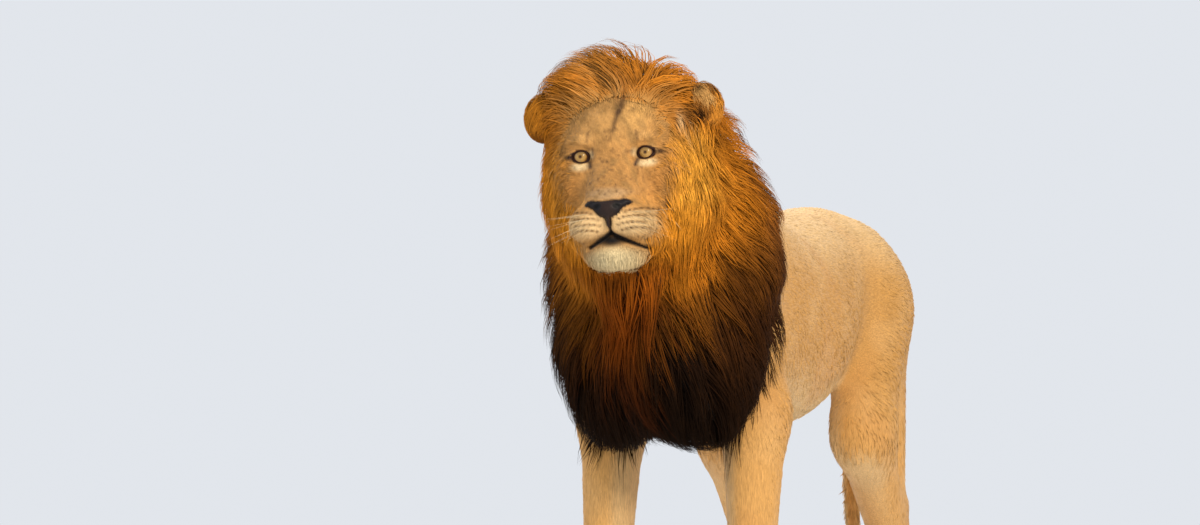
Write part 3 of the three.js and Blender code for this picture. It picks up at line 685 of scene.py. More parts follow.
def net_of(values: Array, lines: list[Array]) -> Shell:
    """The closed surface where a gridded field is zero.

    Args:
        values: the field on the grid, positive all round its rim.
        lines: the grid's lines along X, Y and Z.

    Returns:
        One point for each cell that the surface crosses, joined by four-sided faces.
    """
    cells = np.array(values.shape) - 1
    keys, places, quads = [], [], []
    for axis in range(3):
        low, high = [slice(None)] * 3, [slice(None)] * 3
        low[axis], high[axis] = slice(0, -1), slice(1, None)
        start, end = values[tuple(low)], values[tuple(high)]
        crossing = (start < 0) != (end < 0)
        index = np.argwhere(crossing)
        va, vb = start[crossing].astype(float), end[crossing].astype(float)
        place = np.stack([lines[k][index[:, k]] for k in range(3)], axis=1)
        place[:, axis] += va / (va - vb) * (lines[axis][index[:, axis] + 1] - place[:, axis])
        u, v = (axis + 1) % 3, (axis + 2) % 3
        ring = []
        for du, dv in ((-1, -1), (0, -1), (0, 0), (-1, 0)):
            cell = index.copy()
            cell[:, u] += du
            cell[:, v] += dv
            ring.append(np.ravel_multi_index(cell.T, cells))
            keys.append(ring[-1])
            places.append(place)
        quad = np.stack(ring, axis=1)
        quad[va > 0] = quad[va > 0][:, ::-1]
        quads.append(quad)
    used, inverse = np.unique(np.concatenate(keys), return_inverse=True)
    place = np.concatenate(places)
    count = np.bincount(inverse, minlength=len(used))
    sums = [np.bincount(inverse, place[:, k], len(used)) / count for k in range(3)]
    faces = np.searchsorted(used, np.concatenate(quads))
    return Shell(np.stack(sums, axis=1), faces)


def closed_rim(values: Array) -> Array:
    """A gridded field made positive all round its rim, so that its surface closes."""
    for axis in range(3):
        for end in (0, -1):
            rim = [slice(None)] * 3
            rim[axis] = end
            values[tuple(rim)] = np.maximum(values[tuple(rim)], 1.0)
    return values


def placed(name: str, data: bpy.types.ID) -> Piece:
    """A new object of the scene."""
    made = bpy.data.objects.new(name, data)
    bpy.context.scene.collection.objects.link(made)
    return made


def mesh_piece(name: str, points: Array, faces: Array, material: Material) -> Piece:
    """A new mesh object from points in millimetres of the body's frame.

    Args:
        name: the piece's name.
        points: its points.
        faces: corner numbers, one face a row.
        material: its finish.

    Returns:
        The object, at the origin, with smooth faces.
    """
    mesh = bpy.data.meshes.new(name)
    count, sides = faces.shape
    mesh.vertices.add(len(points))
    mesh.vertices.foreach_set("co", in_metres(points).astype(np.float32).ravel())
    mesh.loops.add(count * sides)
    mesh.loops.foreach_set("vertex_index", faces.astype(np.int32).ravel())
    mesh.polygons.add(count)
    mesh.polygons.foreach_set("loop_start", np.arange(0, count * sides, sides, dtype=np.int32))
    mesh.update(calc_edges=True)
    mesh.validate()
    mesh.shade_smooth()
    mesh.materials.append(material)
    return placed(name, mesh)


def keep(mesh: bpy.types.Mesh, name: str, values: Array) -> None:
    """Keeps a number or a vector for every point of a mesh, as a named attribute."""
    kind, key = ("FLOAT", "value") if values.ndim == 1 else ("FLOAT_VECTOR", "vector")
    mesh.attributes.new(name, kind, "POINT").data.foreach_set(key, values.astype(np.float32).ravel())


def paint(piece: Piece, colours: Array) -> None:
    """Keeps a colour for every point of a piece, as its attribute "tint"."""
    rgba = np.concatenate([colours, np.ones((len(colours), 1))], axis=1)
    layer = piece.data.color_attributes.new("tint", "FLOAT_COLOR", "POINT")
    layer.data.foreach_set("color", rgba.astype(np.float32).ravel())


def unwrap(piece: Piece, corners: Array) -> None:
    """Gives a piece its map for baking, one place for each corner of each face."""
    layer = piece.data.uv_layers.new(name="OFBake")
    layer.data.foreach_set("uv", corners.astype(np.float32).ravel())


# ---- colours of the coat


def palette(codes: str) -> list[Array]:
    """The colours of sRGB hex codes."""
    return [linear(code) for code in codes.split()]


class Hue:
    """The colours of the lion, as linear values; RIM is that of the eyelids."""

    # the back's colour is painted light on the top of the back
    FLANK, BACK, BELLY, LEG, PAW = palette("#BC8B4B #DEBA85 #D6B685 #C99756 #BF915A")
    PAD, FACE, FOREHEAD, CHEEK, MUZZLE = palette("#2A1D18 #B48246 #B88A4F #B37A3A #E8C48E")
    MUZZLE_TOP, BRIDGE, BRIDGE_LOW, CREAM, WORN = palette("#C98F48 #AB7B42 #AB8A62 #E0C494 #94703F")
    CHIN, LOWER_LIP, BLACK, DARK_MARK, SPOT_ROW = palette("#CEBA8E #0E0907 #120C09 #4A3220 #9A6C38")
    # the colour of the ear's inside is painted shade in its hollow
    SPOT, EAR_BACK, EAR_INSIDE, EAR_FUR, EAR_GOLD = palette("#3A2412 #8A5A2C #4E3016 #80501E #BC7A2C")
    # the bright gold is a painted highlight on the lit side of the ruff
    # the colour of the ear's hole is painted shadow over its hollow
    EAR_KNOB, EAR_HOLE, EAR_TIP, GOLD, BRIGHT_GOLD = palette("#BC8E52 #160A05 #BE8D4E #C77F22 #E6A03A")
    AMBER, UMBER, RUST, BROWN, SOOT = palette("#AC6616 #74441A #6A2E04 #361C07 #180C04")
    TUFT, NOSE, NOSE_WING, RIM, TEAR = palette("#2A1A10 #261A17 #151012 #261008 #2E2224")
    # the first colour here is painted shade, laid in slow random patches
    DUSTY, BLEACHED, CROWN_GOLD, LONG_EAR_FUR, LONG_EAR_LOW = palette("#B9834A #E2BC86 #B87224 #B3701F #7A4712")
    # the brow's colour is a painted highlight on the lit brow
    WHISKER, BROW, LID_TOP = palette("#D2BE96 #C89856 #D3A263")


@dataclass(frozen=True)
class Patch:
    """A soft patch of colour on the face: its middle and reach in x, z of the head's frame."""

    colour: Array
    at: Flat
    reach: Flat
    strength: float = 1.0
    paired: bool = False

    def weight(self, x: Array, z: Array) -> Array:
        """1 in its middle and nothing well outside its reach."""
        across = np.abs(x) if self.paired else x
        far = ((across - self.at[0]) / self.reach[0]) ** 2 + ((z - self.at[1]) / self.reach[1]) ** 2
        return self.strength * np.exp(-(far**2))


def whisker_rows() -> list[list[Flat]]:
    """The roots of the whiskers on the left side, in x and z of the head's frame: four bowed rows."""
    starts = ((34, -115), (21, -128), (19, -140), (25, -151))
    return [[(x + 10 * k, z - 0.5 * (k - 2.2) ** 2 + 0.6 * k) for k in range(6)] for x, z in starts]


BROW_LINES = (  # dark lines of the forehead: from, to, width and strength
    ((22, 124), (14, 84), 6.5, 0.8),
    ((14, 84), (4, 48), 4.8, 0.8),
    ((34, 122), (17, 84), 4.0, 0.4),
    ((2, 124), (10, 92), 4.0, 0.4),
    ((3, 46), (-2, 30), 3.4, 0.45),
    ((-50, 29), (-48, 46), 2.8, 0.6),
    ((53, 28), (49, 44), 2.8, 0.6),
    ((-40, 2), (-39, 15), 2.6, 0.6),
    ((28, 3), (40, 5), 3.0, 0.5),
)


@dataclass(frozen=True)
class Markings:
    """Where the coat has which colour, the same for the skin and for the hair that stands on it."""

    patches: tuple[Patch, ...] = (
        Patch(Hue.FOREHEAD, (0, 72), (85, 50), 0.8),
        # painted highlight on the brow over the lion's left eye, on the lit side
        Patch(Hue.BROW, (48, 78), (26, 34), 0.7),
        Patch(Hue.CHEEK, (112, -60), (36, 80), 0.8, paired=True),
        Patch(Hue.LID_TOP, (58, 34), (24, 12), 0.5, paired=True),
        Patch(Hue.BRIDGE, (0, -46), (34, 42), 0.8),
        Patch(Hue.BRIDGE_LOW, (0, -80), (44, 13), 0.85),
        Patch(Hue.MUZZLE_TOP, (64, -98), (26, 18), 0.7, paired=True),
        Patch(Hue.MUZZLE, (42, -140), (46, 26), 0.95, paired=True),
        Patch(Hue.CREAM, (68, -20), (19, 9), 0.95, paired=True),
        Patch(Hue.CREAM, (44, 2), (7, 9), 0.6, paired=True),
        Patch(Hue.CHIN, (0, -210), (58, 27), 1.0),
        Patch(Hue.LOWER_LIP, (0, -172), (33, 13), 1.0),
        Patch(Hue.DARK_MARK, (100, -108), (9, 8), 0.5),
    )
    stripes: tuple[Crease, ...] = (
        *(Crease((a, b), width, colour=Hue.DARK_MARK, strength=strength) for a, b, width, strength in BROW_LINES),
        *mirrored(((82, 1), (93, 0)), 4.4, colour=Hue.RIM, edge=3.0),
        *mirrored(((92, 0), (101, -2)), 3.0, colour=Hue.RIM, strength=0.9),
        *mirrored(((54, -6), (49, -13), (46, -23)), 4.2, colour=Hue.TEAR, strength=0.9),
        Crease(MOUTH_LINE, 4.6, colour=Hue.BLACK, edge=4.0),
        Crease(CLEFT_LINE, 3.6, colour=Hue.BLACK, edge=4.0),
    )

    @staticmethod
    def flecks() -> list[Flat]:
        """Small dark specks and scars over the bridge, the cheeks and the brow."""
        draw = np.random.default_rng(5)
        return list(zip(draw.normal(6, 46, 100), draw.normal(-34, 44, 100)))

    def on_body(self, points: Array, outs: Array) -> Array:
        """The short coat behind the mane: paler on the belly and the insides of the legs, with painted light on the top
        of the back and painted shade in slow random patches.
        """
        x, y, z = points.T
        colour = np.tile(Hue.FLANK, (len(points), 1))
        # painted light: the top of the back is lighter where it faces up
        lay(colour, Hue.BACK, 0.8 * smooth(outs[:, 2], 0.1, 0.9) * smooth(z, 800, 980))
        lay(colour, Hue.LEG, smooth(z, 720, 560))
        lay(colour, Hue.BELLY, 0.85 * smooth(outs[:, 2], -0.25, -0.85) * smooth(z, 300, 560))
        inner = -outs[:, 0] * np.sign(x)
        lay(colour, Hue.BELLY, 0.6 * smooth(inner, 0.2, 0.8) * smooth(z, 120, 300) * (z < 760))
        lay(colour, Hue.PAW, smooth(z, 150, 60))
        # painted shade in slow random patches
        lay(colour, Hue.DUSTY, 0.35 * smooth(ripple(points, 240, 5), 0.1, 1.2))
        lay(colour, Hue.BLEACHED, 0.14 * smooth(ripple(points, 180, 6), 0.0, 1.3))
        lay(colour, Hue.PAD, smooth(outs[:, 2], -0.55, -0.85) * smooth(z, 16, 8))
        lay(colour, Hue.TUFT, smooth(z, 335, 290) * (y > 715))
        return colour

    def on_face(self, points: Array) -> Array:
        """The face, with its patches and stripes."""
        x, y, z = HEAD.into(points).T
        colour = np.tile(Hue.FACE, (len(points), 1))
        front = smooth(y, 75, 30)
        for layer in (*self.patches, *self.stripes):
            lay(colour, layer.colour, layer.weight(x, z) * front)
        for px, pz in self.flecks():
            near = np.exp(-((x - px) ** 2 / 1.9**2 + (z - pz) ** 2 / 2.6**2))
            lay(colour, Hue.DARK_MARK, 0.6 * front * near)
        over = smooth(z, -150, -90)
        lay(colour, Hue.WORN, 0.6 * over * smooth(ripple(points, 30, 92), 0.0, 1.2))
        colour *= (1 + over * (0.12 * ripple(points, 12, 91) + 0.11 * ripple(points, 42, 93)))[:, None]
        for row in whisker_rows():
            lay(colour, Hue.SPOT_ROW, 0.5 * front * Crease(tuple(row), 2.6).weight(np.abs(x), z))
            for px, pz in row:
                near = np.exp(-(((np.abs(x) - px) / 3.2) ** 2 + ((z - pz) / 2.2) ** 2))
                lay(colour, Hue.SPOT, 0.9 * front * near)
        for s in (1, -1):
            rim = np.hypot((x - s * EYE_X) / 20.5, z / 13.5)
            lay(colour, Hue.RIM, smooth(rim, 1.08, 0.9) * smooth(y, 10, -4))
        lay(colour, Hue.BLACK, smooth(ANATOMY.nose.at(points), 2.4, 0.8))
        return colour

    def on_mane(self, points: Array) -> Array:
        """The mane: golden round the face, brown behind it and nearly black over the chest and shoulders, with a
        painted highlight down the ruff on its lit side and painted shade round the ear's hollow and beneath the chin.
        """
        x, y, z = points.T
        hx, hy, hz = HEAD.into(points).T
        colour = np.tile(Hue.AMBER, (len(points), 1))
        swirl = ripple(points, 150, 3)
        away = np.hypot(hx, hz + 72) + 14 * swirl
        low = smooth(z + 30 * swirl - 15 * smooth(x, 50, 150), 990, 925)
        lay(colour, Hue.UMBER, smooth(hy + 26 * swirl - 0.35 * hz, 250, 420))
        lay(colour, Hue.BROWN, smooth(hy + 34 * swirl, 350, 470))
        lay(colour, Hue.BROWN, 0.92 * low * np.maximum(smooth(away, 215, 262), smooth(hy, 130, 230)))
        middle = np.exp(-(((x + 15) / 48) ** 2)) * smooth(y, -640, -720)
        lay(colour, Hue.RUST, middle * smooth(z, 900, 860) * 0.9)
        edge = 1 - 0.45 * smooth(x, 110, 160)
        gap = 1 - 0.85 * middle * smooth(z, 700, 800)
        lay(colour, Hue.SOOT, 0.9 * edge * smooth(z + 22 * swirl, 880, 810) * gap)
        lay(colour, Hue.SOOT, 0.9 * edge * smooth(z, 790, 700))
        lay(colour, Hue.SOOT, 0.8 * smooth(x, 5, 50) * smooth(x, 170, 120) * smooth(z, 890, 840))
        # the throat's own rust-brown hair, deepest beneath the chin as painted shade
        lay(colour, Hue.RUST, 0.85 * smooth(hz, -205, -240) * smooth(hy, 120, 60))
        lay(colour, Hue.GOLD, smooth(hy, 190, 90) * smooth(away, 198, 132) * smooth(hz, -225, -165))
        # painted highlight: a bright band down the ruff on the lion's left, the lit side
        band = np.exp(-(((hx - 150) / 42) ** 2)) * smooth(hz, -150, -80) * smooth(hz, 70, 10)
        lay(colour, Hue.BRIGHT_GOLD, 0.8 * smooth(hy, 190, 90) * band)
        lay(colour, Hue.UMBER * 0.6, 0.6 * smooth(hy + 20 * swirl + 0.3 * hx, 190, 290) * smooth(hz, 40, 85))
        lay(colour, Hue.CROWN_GOLD, 0.75 * smooth(hz, 60, 110) * smooth(hy, 210, 130))
        # painted shadow of the ear's hollow on the hair round the left ear
        ear = np.exp(-(((hx - 143) / 14) ** 2) - ((hz - 68) / 26) ** 2)
        lay(colour, Hue.EAR_HOLE, ear * smooth(hy, 170, 135))
        wisp = 0.8 * np.exp(-(((hx - 126) / 6) ** 2) - ((hz - 58) / 20) ** 2)
        lay(colour, Hue.CREAM, wisp * smooth(hy, 130, 90))
        return colour

    def tint(self, points: Array, outs: Array) -> Array:
        """The coat's colour at places on the skin.

        Args:
            points: the places, one a row.
            outs: the ways out of the skin there.

        Returns:
            Linear colours, one a row.
        """
        colour = self.on_body(points, outs)
        lay(colour, self.on_face(points), smooth(points[:, 1], FACE_Y, FACE_Y - 40))
        under_hair = smooth(ANATOMY.flesh.at(points), 1.0, 12.0)
        legs = smooth(ANATOMY.legs.at(points), 0.0, 10.0) * smooth(ANATOMY.paws.at(points), 0.0, 10.0)
        inside = smooth(ANATOMY.tips.at(points), 8, -8)
        hair = under_hair * legs * inside * (points[:, 1] < MANE_Y) * (points[:, 2] > 480)
        # painted shade: the skin under the mane is darker, less so near the face
        shade = 0.55 + 0.35 * smooth(past_face(points), 70, 10)
        lay(colour, self.on_mane(points) * shade[:, None], hair)
        return colour


MARKINGS = Markings()


# ---- the lie of the hair


def on_crown(z: Array) -> Array:
    """How far a height is up the crown, from 0 to 1."""
    return smooth(z, 1231, 1331)


def lie_of_mane(points: Array) -> Array:
    """The way the mane lies: away from the face, backwards and down, and over the crown to the lion's right."""
    x, y, z = points.T
    out = unit(np.stack([x - 10, y + 998, z - 1121], axis=1))
    crown = on_crown(z)
    parted = crown * np.clip((x - 62) / 40, -1.5, 0.8)
    ruff = (1 - crown) * smooth(y, -780, -900)
    down = 0.75 + 0.3 * ruff - 0.3 * crown
    way = np.stack([(1 - 0.3 * ruff) * out[:, 0] + parted, 0.7 * out[:, 1] + 0.5, 0.9 * out[:, 2] - down], axis=1)
    hx, hy, hz = HEAD.into(points).T
    fall = smooth(hx, 85, 125) * smooth(hx, 235, 195) * smooth(hz, 95, 45) * smooth(hy, 190, 120)
    lay(way, (0.15, 0.1, -1.4), fall)
    throat = smooth(hz, -185, -225) * smooth(hy, 160, 90)
    way[:, 0] *= 1 - 0.6 * throat
    way[:, 0] += 0.22 * ripple(points, 260, 8)
    return way


def lie_of_coat(points: Array) -> Array:
    """The way the short coat lies: from the nose backwards, down the legs and along the toes."""
    x, y, z = points.T
    way = np.stack([0 * x, 1 + 0 * x, -0.35 - 0.4 * smooth(z, 900, 700)], axis=1)
    lay(way, (0.0, 0.25, -1.0), smooth(z, 760, 560))
    lay(way, (0.0, -0.8, -0.5), smooth(z, 150, 70))
    lay(way, (0.0, 0.1, -1.0), smooth(y, 640, 720))
    head = HEAD.into(points)
    from_nose = head - np.array([0.0, -130.0, -100.0])
    from_nose[:, 1] *= 0.6
    face = unit(from_nose) + smooth(head[:, 2], -150, -185)[:, None] * np.array([0.0, -0.3, -1.5])
    face[:, 2] -= 1.2 * smooth(np.abs(head[:, 0]), 58, 100) * smooth(head[:, 2], 75, 15)
    lay(way, face @ HEAD.turn.T, smooth(y, -860, -910))
    return way + 0.12 * np.stack([ripple(points, 90, k) for k in (21, 22, 23)], axis=1)


# ---- strands and tufts


@dataclass(frozen=True)
class Strands:
    """Three-sided tapered strands, each along its own row of points.

    `paths` holds the middle of every ring and the tip, `outs` the way out at each ring, `roots_uv` the place of
    each root on the unwrapped skin, and `tints` the colour at every ring and at the tip.
    """

    paths: Array
    outs: Array
    widths: Array
    tints: Array
    roots_uv: Array
    thick: float = 0.32
    taper: tuple[float, ...] = (0.8, 1.0, 0.85, 0.55)
    soft: float = 0.6  # how far a strand is shaded as the surface that the hair makes, not as its own round form
    PATCH = 0.003

    def _corners(self) -> tuple[Array, Array]:
        """The faces of one strand and where each of their corners is on its patch of the map."""
        rings = self.outs.shape[1]
        faces, corners = [[0, 2, 1]], [[(0.0, -0.12), (1.0, -0.12), (0.5, 0.0)]]
        for ring in range(rings):
            low, high = ring / rings, (ring + 1) / rings
            for side in range(3):
                a, b = 3 * ring + side, 3 * ring + (side + 1) % 3
                left, right = side / 3, (side + 1) / 3
                if ring == rings - 1:
                    faces.append([a, b, 3 * rings])
                    corners.append([(left, low), (right, low), ((left + right) / 2, 1.0)])
                else:
                    faces += [[a, b, a + 3], [b, b + 3, a + 3]]
                    corners += [[(left, low), (right, low), (left, high)], [(right, low), (right, high), (left, high)]]
        return np.array(faces), np.array(corners)

    def piece(self, name: str, material: Material) -> Piece:
        """All strands as one mesh object.

        Args:
            name: the piece's name.
            material: its finish.

        Returns:
            The object, with its colours and its map for baking.
        """
        count, rings = self.outs.shape[:2]
        ahead = np.concatenate([self.paths[:, 1:2] - self.paths[:, :1], self.paths[:, 2:] - self.paths[:, :-2]], axis=1)
        across = unit(np.cross(self.outs, ahead))
        up = unit(np.cross(ahead, across))
        wide = self.widths[:, None] * np.array(self.taper[:rings])
        side, ridge = across * (wide / 2)[..., None], up * (self.thick * wide)[..., None]
        middle = self.paths[:, :rings]
        ring_points = np.stack([middle + side, middle + ridge, middle - side], axis=2).reshape(count, -1, 3)
        points = np.concatenate([ring_points, self.paths[:, rings:]], axis=1)
        faces, corners = self._corners()
        index = faces[None] + (np.arange(count) * (3 * rings + 1))[:, None, None]
        piece = mesh_piece(name, points.reshape(-1, 3), index.reshape(-1, 3), material)
        ring_tints = np.repeat(self.tints[:, :rings], 3, axis=1)
        tints = np.concatenate([ring_tints, self.tints[:, rings:]], axis=1)
        paint(piece, tints.reshape(-1, 3))
        own = np.stack([across, up, -across], axis=2) * (1 - self.soft) + (self.soft * up)[:, :, None]
        normals = np.concatenate([own.reshape(count, -1, 3), up[:, -1:]], axis=1)
        piece.data.normals_split_custom_set_from_vertices(unit(normals).reshape(-1, 3).astype(np.float32))
        patch = self.roots_uv[:, None, None, :] + self.PATCH * (corners[None] - 0.5)
        unwrap(piece, patch.reshape(-1, 2))
        return piece


@dataclass(frozen=True)
class Unwrap:
    """The skin's shape unrolled round an axis: the turn round it gives u, the way along it gives v."""

    origin: Point
    axis: Point
    start: Point  # the side where the unrolled skin is cut
    EDGE = 0.02

    def raw(self, points: Array) -> Array:
        """The turn, from 0 to 1, and the way along the axis in millimetres."""
        axis = unit(np.array(self.axis, float))
        cut = along(np.array(self.start, float), axis)
        other = np.cross(axis, cut)
        away = points - np.array(self.origin)
        turn = (np.arctan2(away @ other, away @ cut) / (2 * math.pi)) % 1.0
        return np.stack([turn, away @ axis + 0.35 * np.linalg.norm(away - np.outer(away @ axis, axis), axis=1)], axis=1)

    def of(self, points: Array) -> Array:
        """The places of points on the map, spread over the whole of it."""
        raw = self.raw(points)
        low, high = raw.min(0), raw.max(0)
        return self.EDGE + (1 - 2 * self.EDGE) * (raw - low) / np.maximum(high - low, 1e-6)


@dataclass(frozen=True)
class Roots:
    """Places where hair grows on the skin, with the way out of it."""

    points: Array
    outs: Array

    def __len__(self) -> int:
        """How many there are."""
        return len(self.points)

    def where(self, chosen: Array) -> "Roots":
        """Only the roots that a mask or an index names."""
        return Roots(self.points[chosen], self.outs[chosen])


def scattered(shell: Shell, density: Array, count: int, seed: int) -> Roots:
    """Roots spread evenly over a shell.

    Args:
        shell: the skin.
        density: how densely they grow at each of its points, in any unit.
        count: how many there are.
        seed: for the draw.

    Returns:
        The roots.
    """
    draw = np.random.default_rng(seed)
    corners = shell.triangles
    a, b, c = (shell.points[corners[:, k]] for k in range(3))
    area = np.linalg.norm(np.cross(b - a, c - a), axis=1) / 2
    share = np.cumsum(area * density[corners].mean(axis=1))
    chosen = np.searchsorted(share, (np.arange(count) + draw.random(count)) / count * share[-1])
    chosen = np.minimum(chosen, len(corners) - 1)
    u, v = np.sqrt(draw.random(count)), draw.random(count)
    weights = np.stack([1 - u, u * (1 - v), u * v], axis=1)
    points = np.einsum("ij,ijk->ik", weights, shell.points[corners[chosen]])
    outs = unit(np.einsum("ij,ijk->ik", weights, shell.outs[corners[chosen]]))
    return Roots(points, outs)


@dataclass(frozen=True)
class Tufts:
    """Short, flat tufts of the coat on one stretch of the body."""

    name: str
    length: float
    width: float
    count: int
    seed: int
    map: Unwrap
    lift: float = 0.16  # how steeply a tuft leaves the skin
    spread: float = 0.25  # how far the lengths and directions vary
    clump: float = 0.0  # how far the length follows clumps
    thick: float = 0.35
    vary: float = 0.1  # how far the colours vary
    soft: float = 0.9

    def build(self, shell: Shell, density: Array, material: Material) -> Piece:
        """The tufts as one piece.

        Args:
            shell: the skin.
            density: how densely they grow at each of its points.
            material: their finish.

        Returns:
            The object.
        """
        draw = np.random.default_rng(self.seed)
        roots = scattered(shell, density, self.count, self.seed)
        at, out = roots.points, roots.outs
        ways = along(lie_of_coat(at) + self.spread * draw.normal(size=at.shape), out)
        lengths = self.length * draw.uniform(1 - self.spread, 1 + self.spread, len(roots))[:, None]
        lengths *= np.exp(self.clump * ripple(at, 11, self.seed))[:, None]
        lift = self.lift * draw.uniform(0.6, 1.6, len(roots))[:, None]
        on_head = at[:, 1:2] < -845
        outward = smooth(past_face(at), -60, 10)[:, None] * on_head
        lengths *= np.where(on_head, 0.62 + 1.15 * outward, 1.0)
        lift *= 1 + 0.7 * outward
        x, y, z = HEAD.into(at).T
        from_lips = np.where((z > -205) & (y < 0), 2 + Crease(MOUTH_LINE, 1.0).distance(x, z), 99.0)
        lengths = np.minimum(lengths, from_lips[:, None])
        base = at - 0.9 * out
        middle = base + 0.5 * lengths * (ways + 1.3 * lift * out)
        tip = base + lengths * (ways + lift * out)
        tip[:, 2], middle[:, 2] = np.maximum(tip[:, 2], 0.6), np.maximum(middle[:, 2], 0.8)
        vary = draw.uniform(1 - self.vary, 1 + self.vary, (len(roots), 1))
        # painted shade: each tuft a little darker at its root, deep in the coat, and lighter at its tip
        rings = ((base, 0.0, 0.95), (middle, 0.6 * lift * lengths, 1.0), (tip, lift * lengths, 1.04))
        tints = [MARKINGS.tint(place - rise * out, out) * vary * shade for place, rise, shade in rings]
        return Strands(
            paths=np.stack([base, middle, tip], axis=1),
            outs=np.stack([out, out], axis=1),
            widths=self.width * draw.uniform(0.75, 1.25, len(roots)),
            tints=np.stack(tints, axis=1),
            roots_uv=self.map.of(at),
            thick=self.thick,
            taper=(0.8, 1.0),
            soft=self.soft,
        ).piece(self.name, material)


# ---- finishes


def connect(tree: Tree, node: Node, inputs: dict) -> None:
    """Sets the inputs of a node.

    Args:
        tree: the node's tree.
        node: the node.
        inputs: for each input, by its name or number, a value, a socket to link from, or a node to link from.
    """
    for name, value in inputs.items():
        source = value.outputs[0] if isinstance(value, Node) else value
        if isinstance(source, Socket):
            tree.links.new(source, node.inputs[name])
        else:
            node.inputs[name].default_value = source


def add(tree: Tree, kind: str, inputs: dict | None = None, **settings) -> Node:
    """Adds a node to a tree.

    Args:
        tree: the tree.
        kind: the node's type.
        inputs: what `connect` sets.
        **settings: the node's own properties.

    Returns:
        The node.
    """
    node = tree.nodes.new(kind)
    for name, value in settings.items():
        setattr(node, name, value)
    connect(tree, node, inputs or {})
    return node


def ends(start: float, end: float, low: float, high: float) -> dict[str, float]:
    """The inputs of a Map Range node that turns start and end into low and high."""
    return {"From Min": start, "From Max": end, "To Min": low, "To Max": high}


def own_colour(tree: Tree, pattern: Node, shades: dict[str, float]) -> Node:
    """The colours kept on a piece, made lighter and darker by a pattern.

    Args:
        tree: the material's tree.
        pattern: the pattern's node.
        shades: what its values multiply the colours by, as `ends` gives it.

    Returns:
        The node of the colour.
    """
    tint = add(tree, "ShaderNodeAttribute", attribute_name="tint")
    shade = add(tree, "ShaderNodeMapRange", {"Value": pattern, **shades})
    return add(tree, "ShaderNodeVectorMath", {0: tint, "Scale": shade}, operation="SCALE")


@dataclass(frozen=True)
class Finish:
    """A finish, which each class of its own describes."""

    name: str

    def look(self, tree: Tree, place: Socket) -> dict:
        """The look of the surface.

        Args:
            tree: the material's tree, for the nodes of the patterns.
            place: the place on the piece, in metres.

        Returns:
            The inputs of the shader.
        """
        raise NotImplementedError

    def material(self) -> Material:
        """The finish as a material."""
        material = bpy.data.materials.new(self.name)
        material.use_nodes = True
        tree = material.node_tree
        tree.nodes.clear()
        place = add(tree, "ShaderNodeTexCoord").outputs["Object"]
        shader = add(tree, "ShaderNodeBsdfPrincipled", self.look(tree, place))
        add(tree, "ShaderNodeOutputMaterial", {"Surface": shader})
        return material


@dataclass(frozen=True)
class PeltFinish(Finish):
    """Lion's short fur, lying flat: a matt pelt with a faint bloom, streaked finely along the hair."""

    hair_mm: float = 2.4  # real hairs are 0.05 mm, too fine to show, so that a streak stands for a few dozen
    length_mm: float = 20.0
    relief_mm: float = 1.1

    def look(self, tree: Tree, place: Socket) -> dict:
        """Two runs of streaks, along the body and down it, of which the skin says which one it has."""
        upright = add(tree, "ShaderNodeAttribute", attribute_name="upright").outputs["Fac"]
        thin, long, streaks = 1000 / self.hair_mm, 1000 / self.length_mm, []
        for scale in ((thin, long, thin), (thin, thin, long)):
            run = add(tree, "ShaderNodeMapping", {"Vector": place, "Scale": scale})
            noise = {"Vector": run, "Scale": 1.0, "Detail": 3.0, "Roughness": 0.6}
            streaks.append(add(tree, "ShaderNodeTexNoise", noise))
        streak = add(tree, "ShaderNodeMix", {"Factor": upright, "A": streaks[0], "B": streaks[1]})
        relief = {"Height": streak, "Distance": self.relief_mm / 1000, "Strength": 0.7}
        return {
            "Base Color": own_colour(tree, streak, ends(0.3, 0.7, 0.72, 1.16)),
            "Normal": add(tree, "ShaderNodeBump", relief),
            "Roughness": 0.68,
            "IOR": 1.5,
            "Specular IOR Level": 0.18,
            "Sheen Weight": 0.05,
            "Sheen Roughness": 0.5,
        }


@dataclass(frozen=True)
class HairFinish(Finish):
    """Keratin hair, grown and weathered: a soft gloss along each strand, sun-bleached here and darker there."""

    roughness: float
    gloss: float
    patch_mm: float = 34.0  # one paler or darker stretch

    def look(self, tree: Tree, place: Socket) -> dict:
        """The hair's own colours, paler and darker in patches."""
        patches = add(tree, "ShaderNodeTexNoise", {"Vector": place, "Scale": 1000 / self.patch_mm, "Detail": 2.0})
        colour = own_colour(tree, patches, ends(0.3, 0.7, 0.86, 1.12))
        return {"Base Color": colour, "Roughness": self.roughness, "IOR": 1.55, "Specular IOR Level": self.gloss}


@dataclass(frozen=True)
class NoseFinish(Finish):
    """Bare skin of the nose: nearly black, pebbled like fine leather, and moist."""

    pebble_mm: float = 2.6
    relief_mm: float = 0.45

    def look(self, tree: Tree, place: Socket) -> dict:
        """Pebbles, with paler and rougher stretches where it is worn."""
        grain = {"Vector": place, "Scale": 1000 / self.pebble_mm}
        pebbles = add(tree, "ShaderNodeTexVoronoi", grain, feature="SMOOTH_F1")
        worn = add(tree, "ShaderNodeTexNoise", {"Vector": place, "Scale": 90.0, "Detail": 3.0})
        relief = {"Height": pebbles, "Distance": self.relief_mm / 1000, "Strength": 0.8}
        return {
            "Base Color": own_colour(tree, worn, ends(0.0, 1.0, 0.6, 1.5)),
            "Roughness": add(tree, "ShaderNodeMapRange", {"Value": worn, "To Min": 0.4, "To Max": 0.66}),
            "Normal": add(tree, "ShaderNodeBump", relief, invert=True),
            "IOR": 1.4,
            "Specular IOR Level": 0.25,
        }


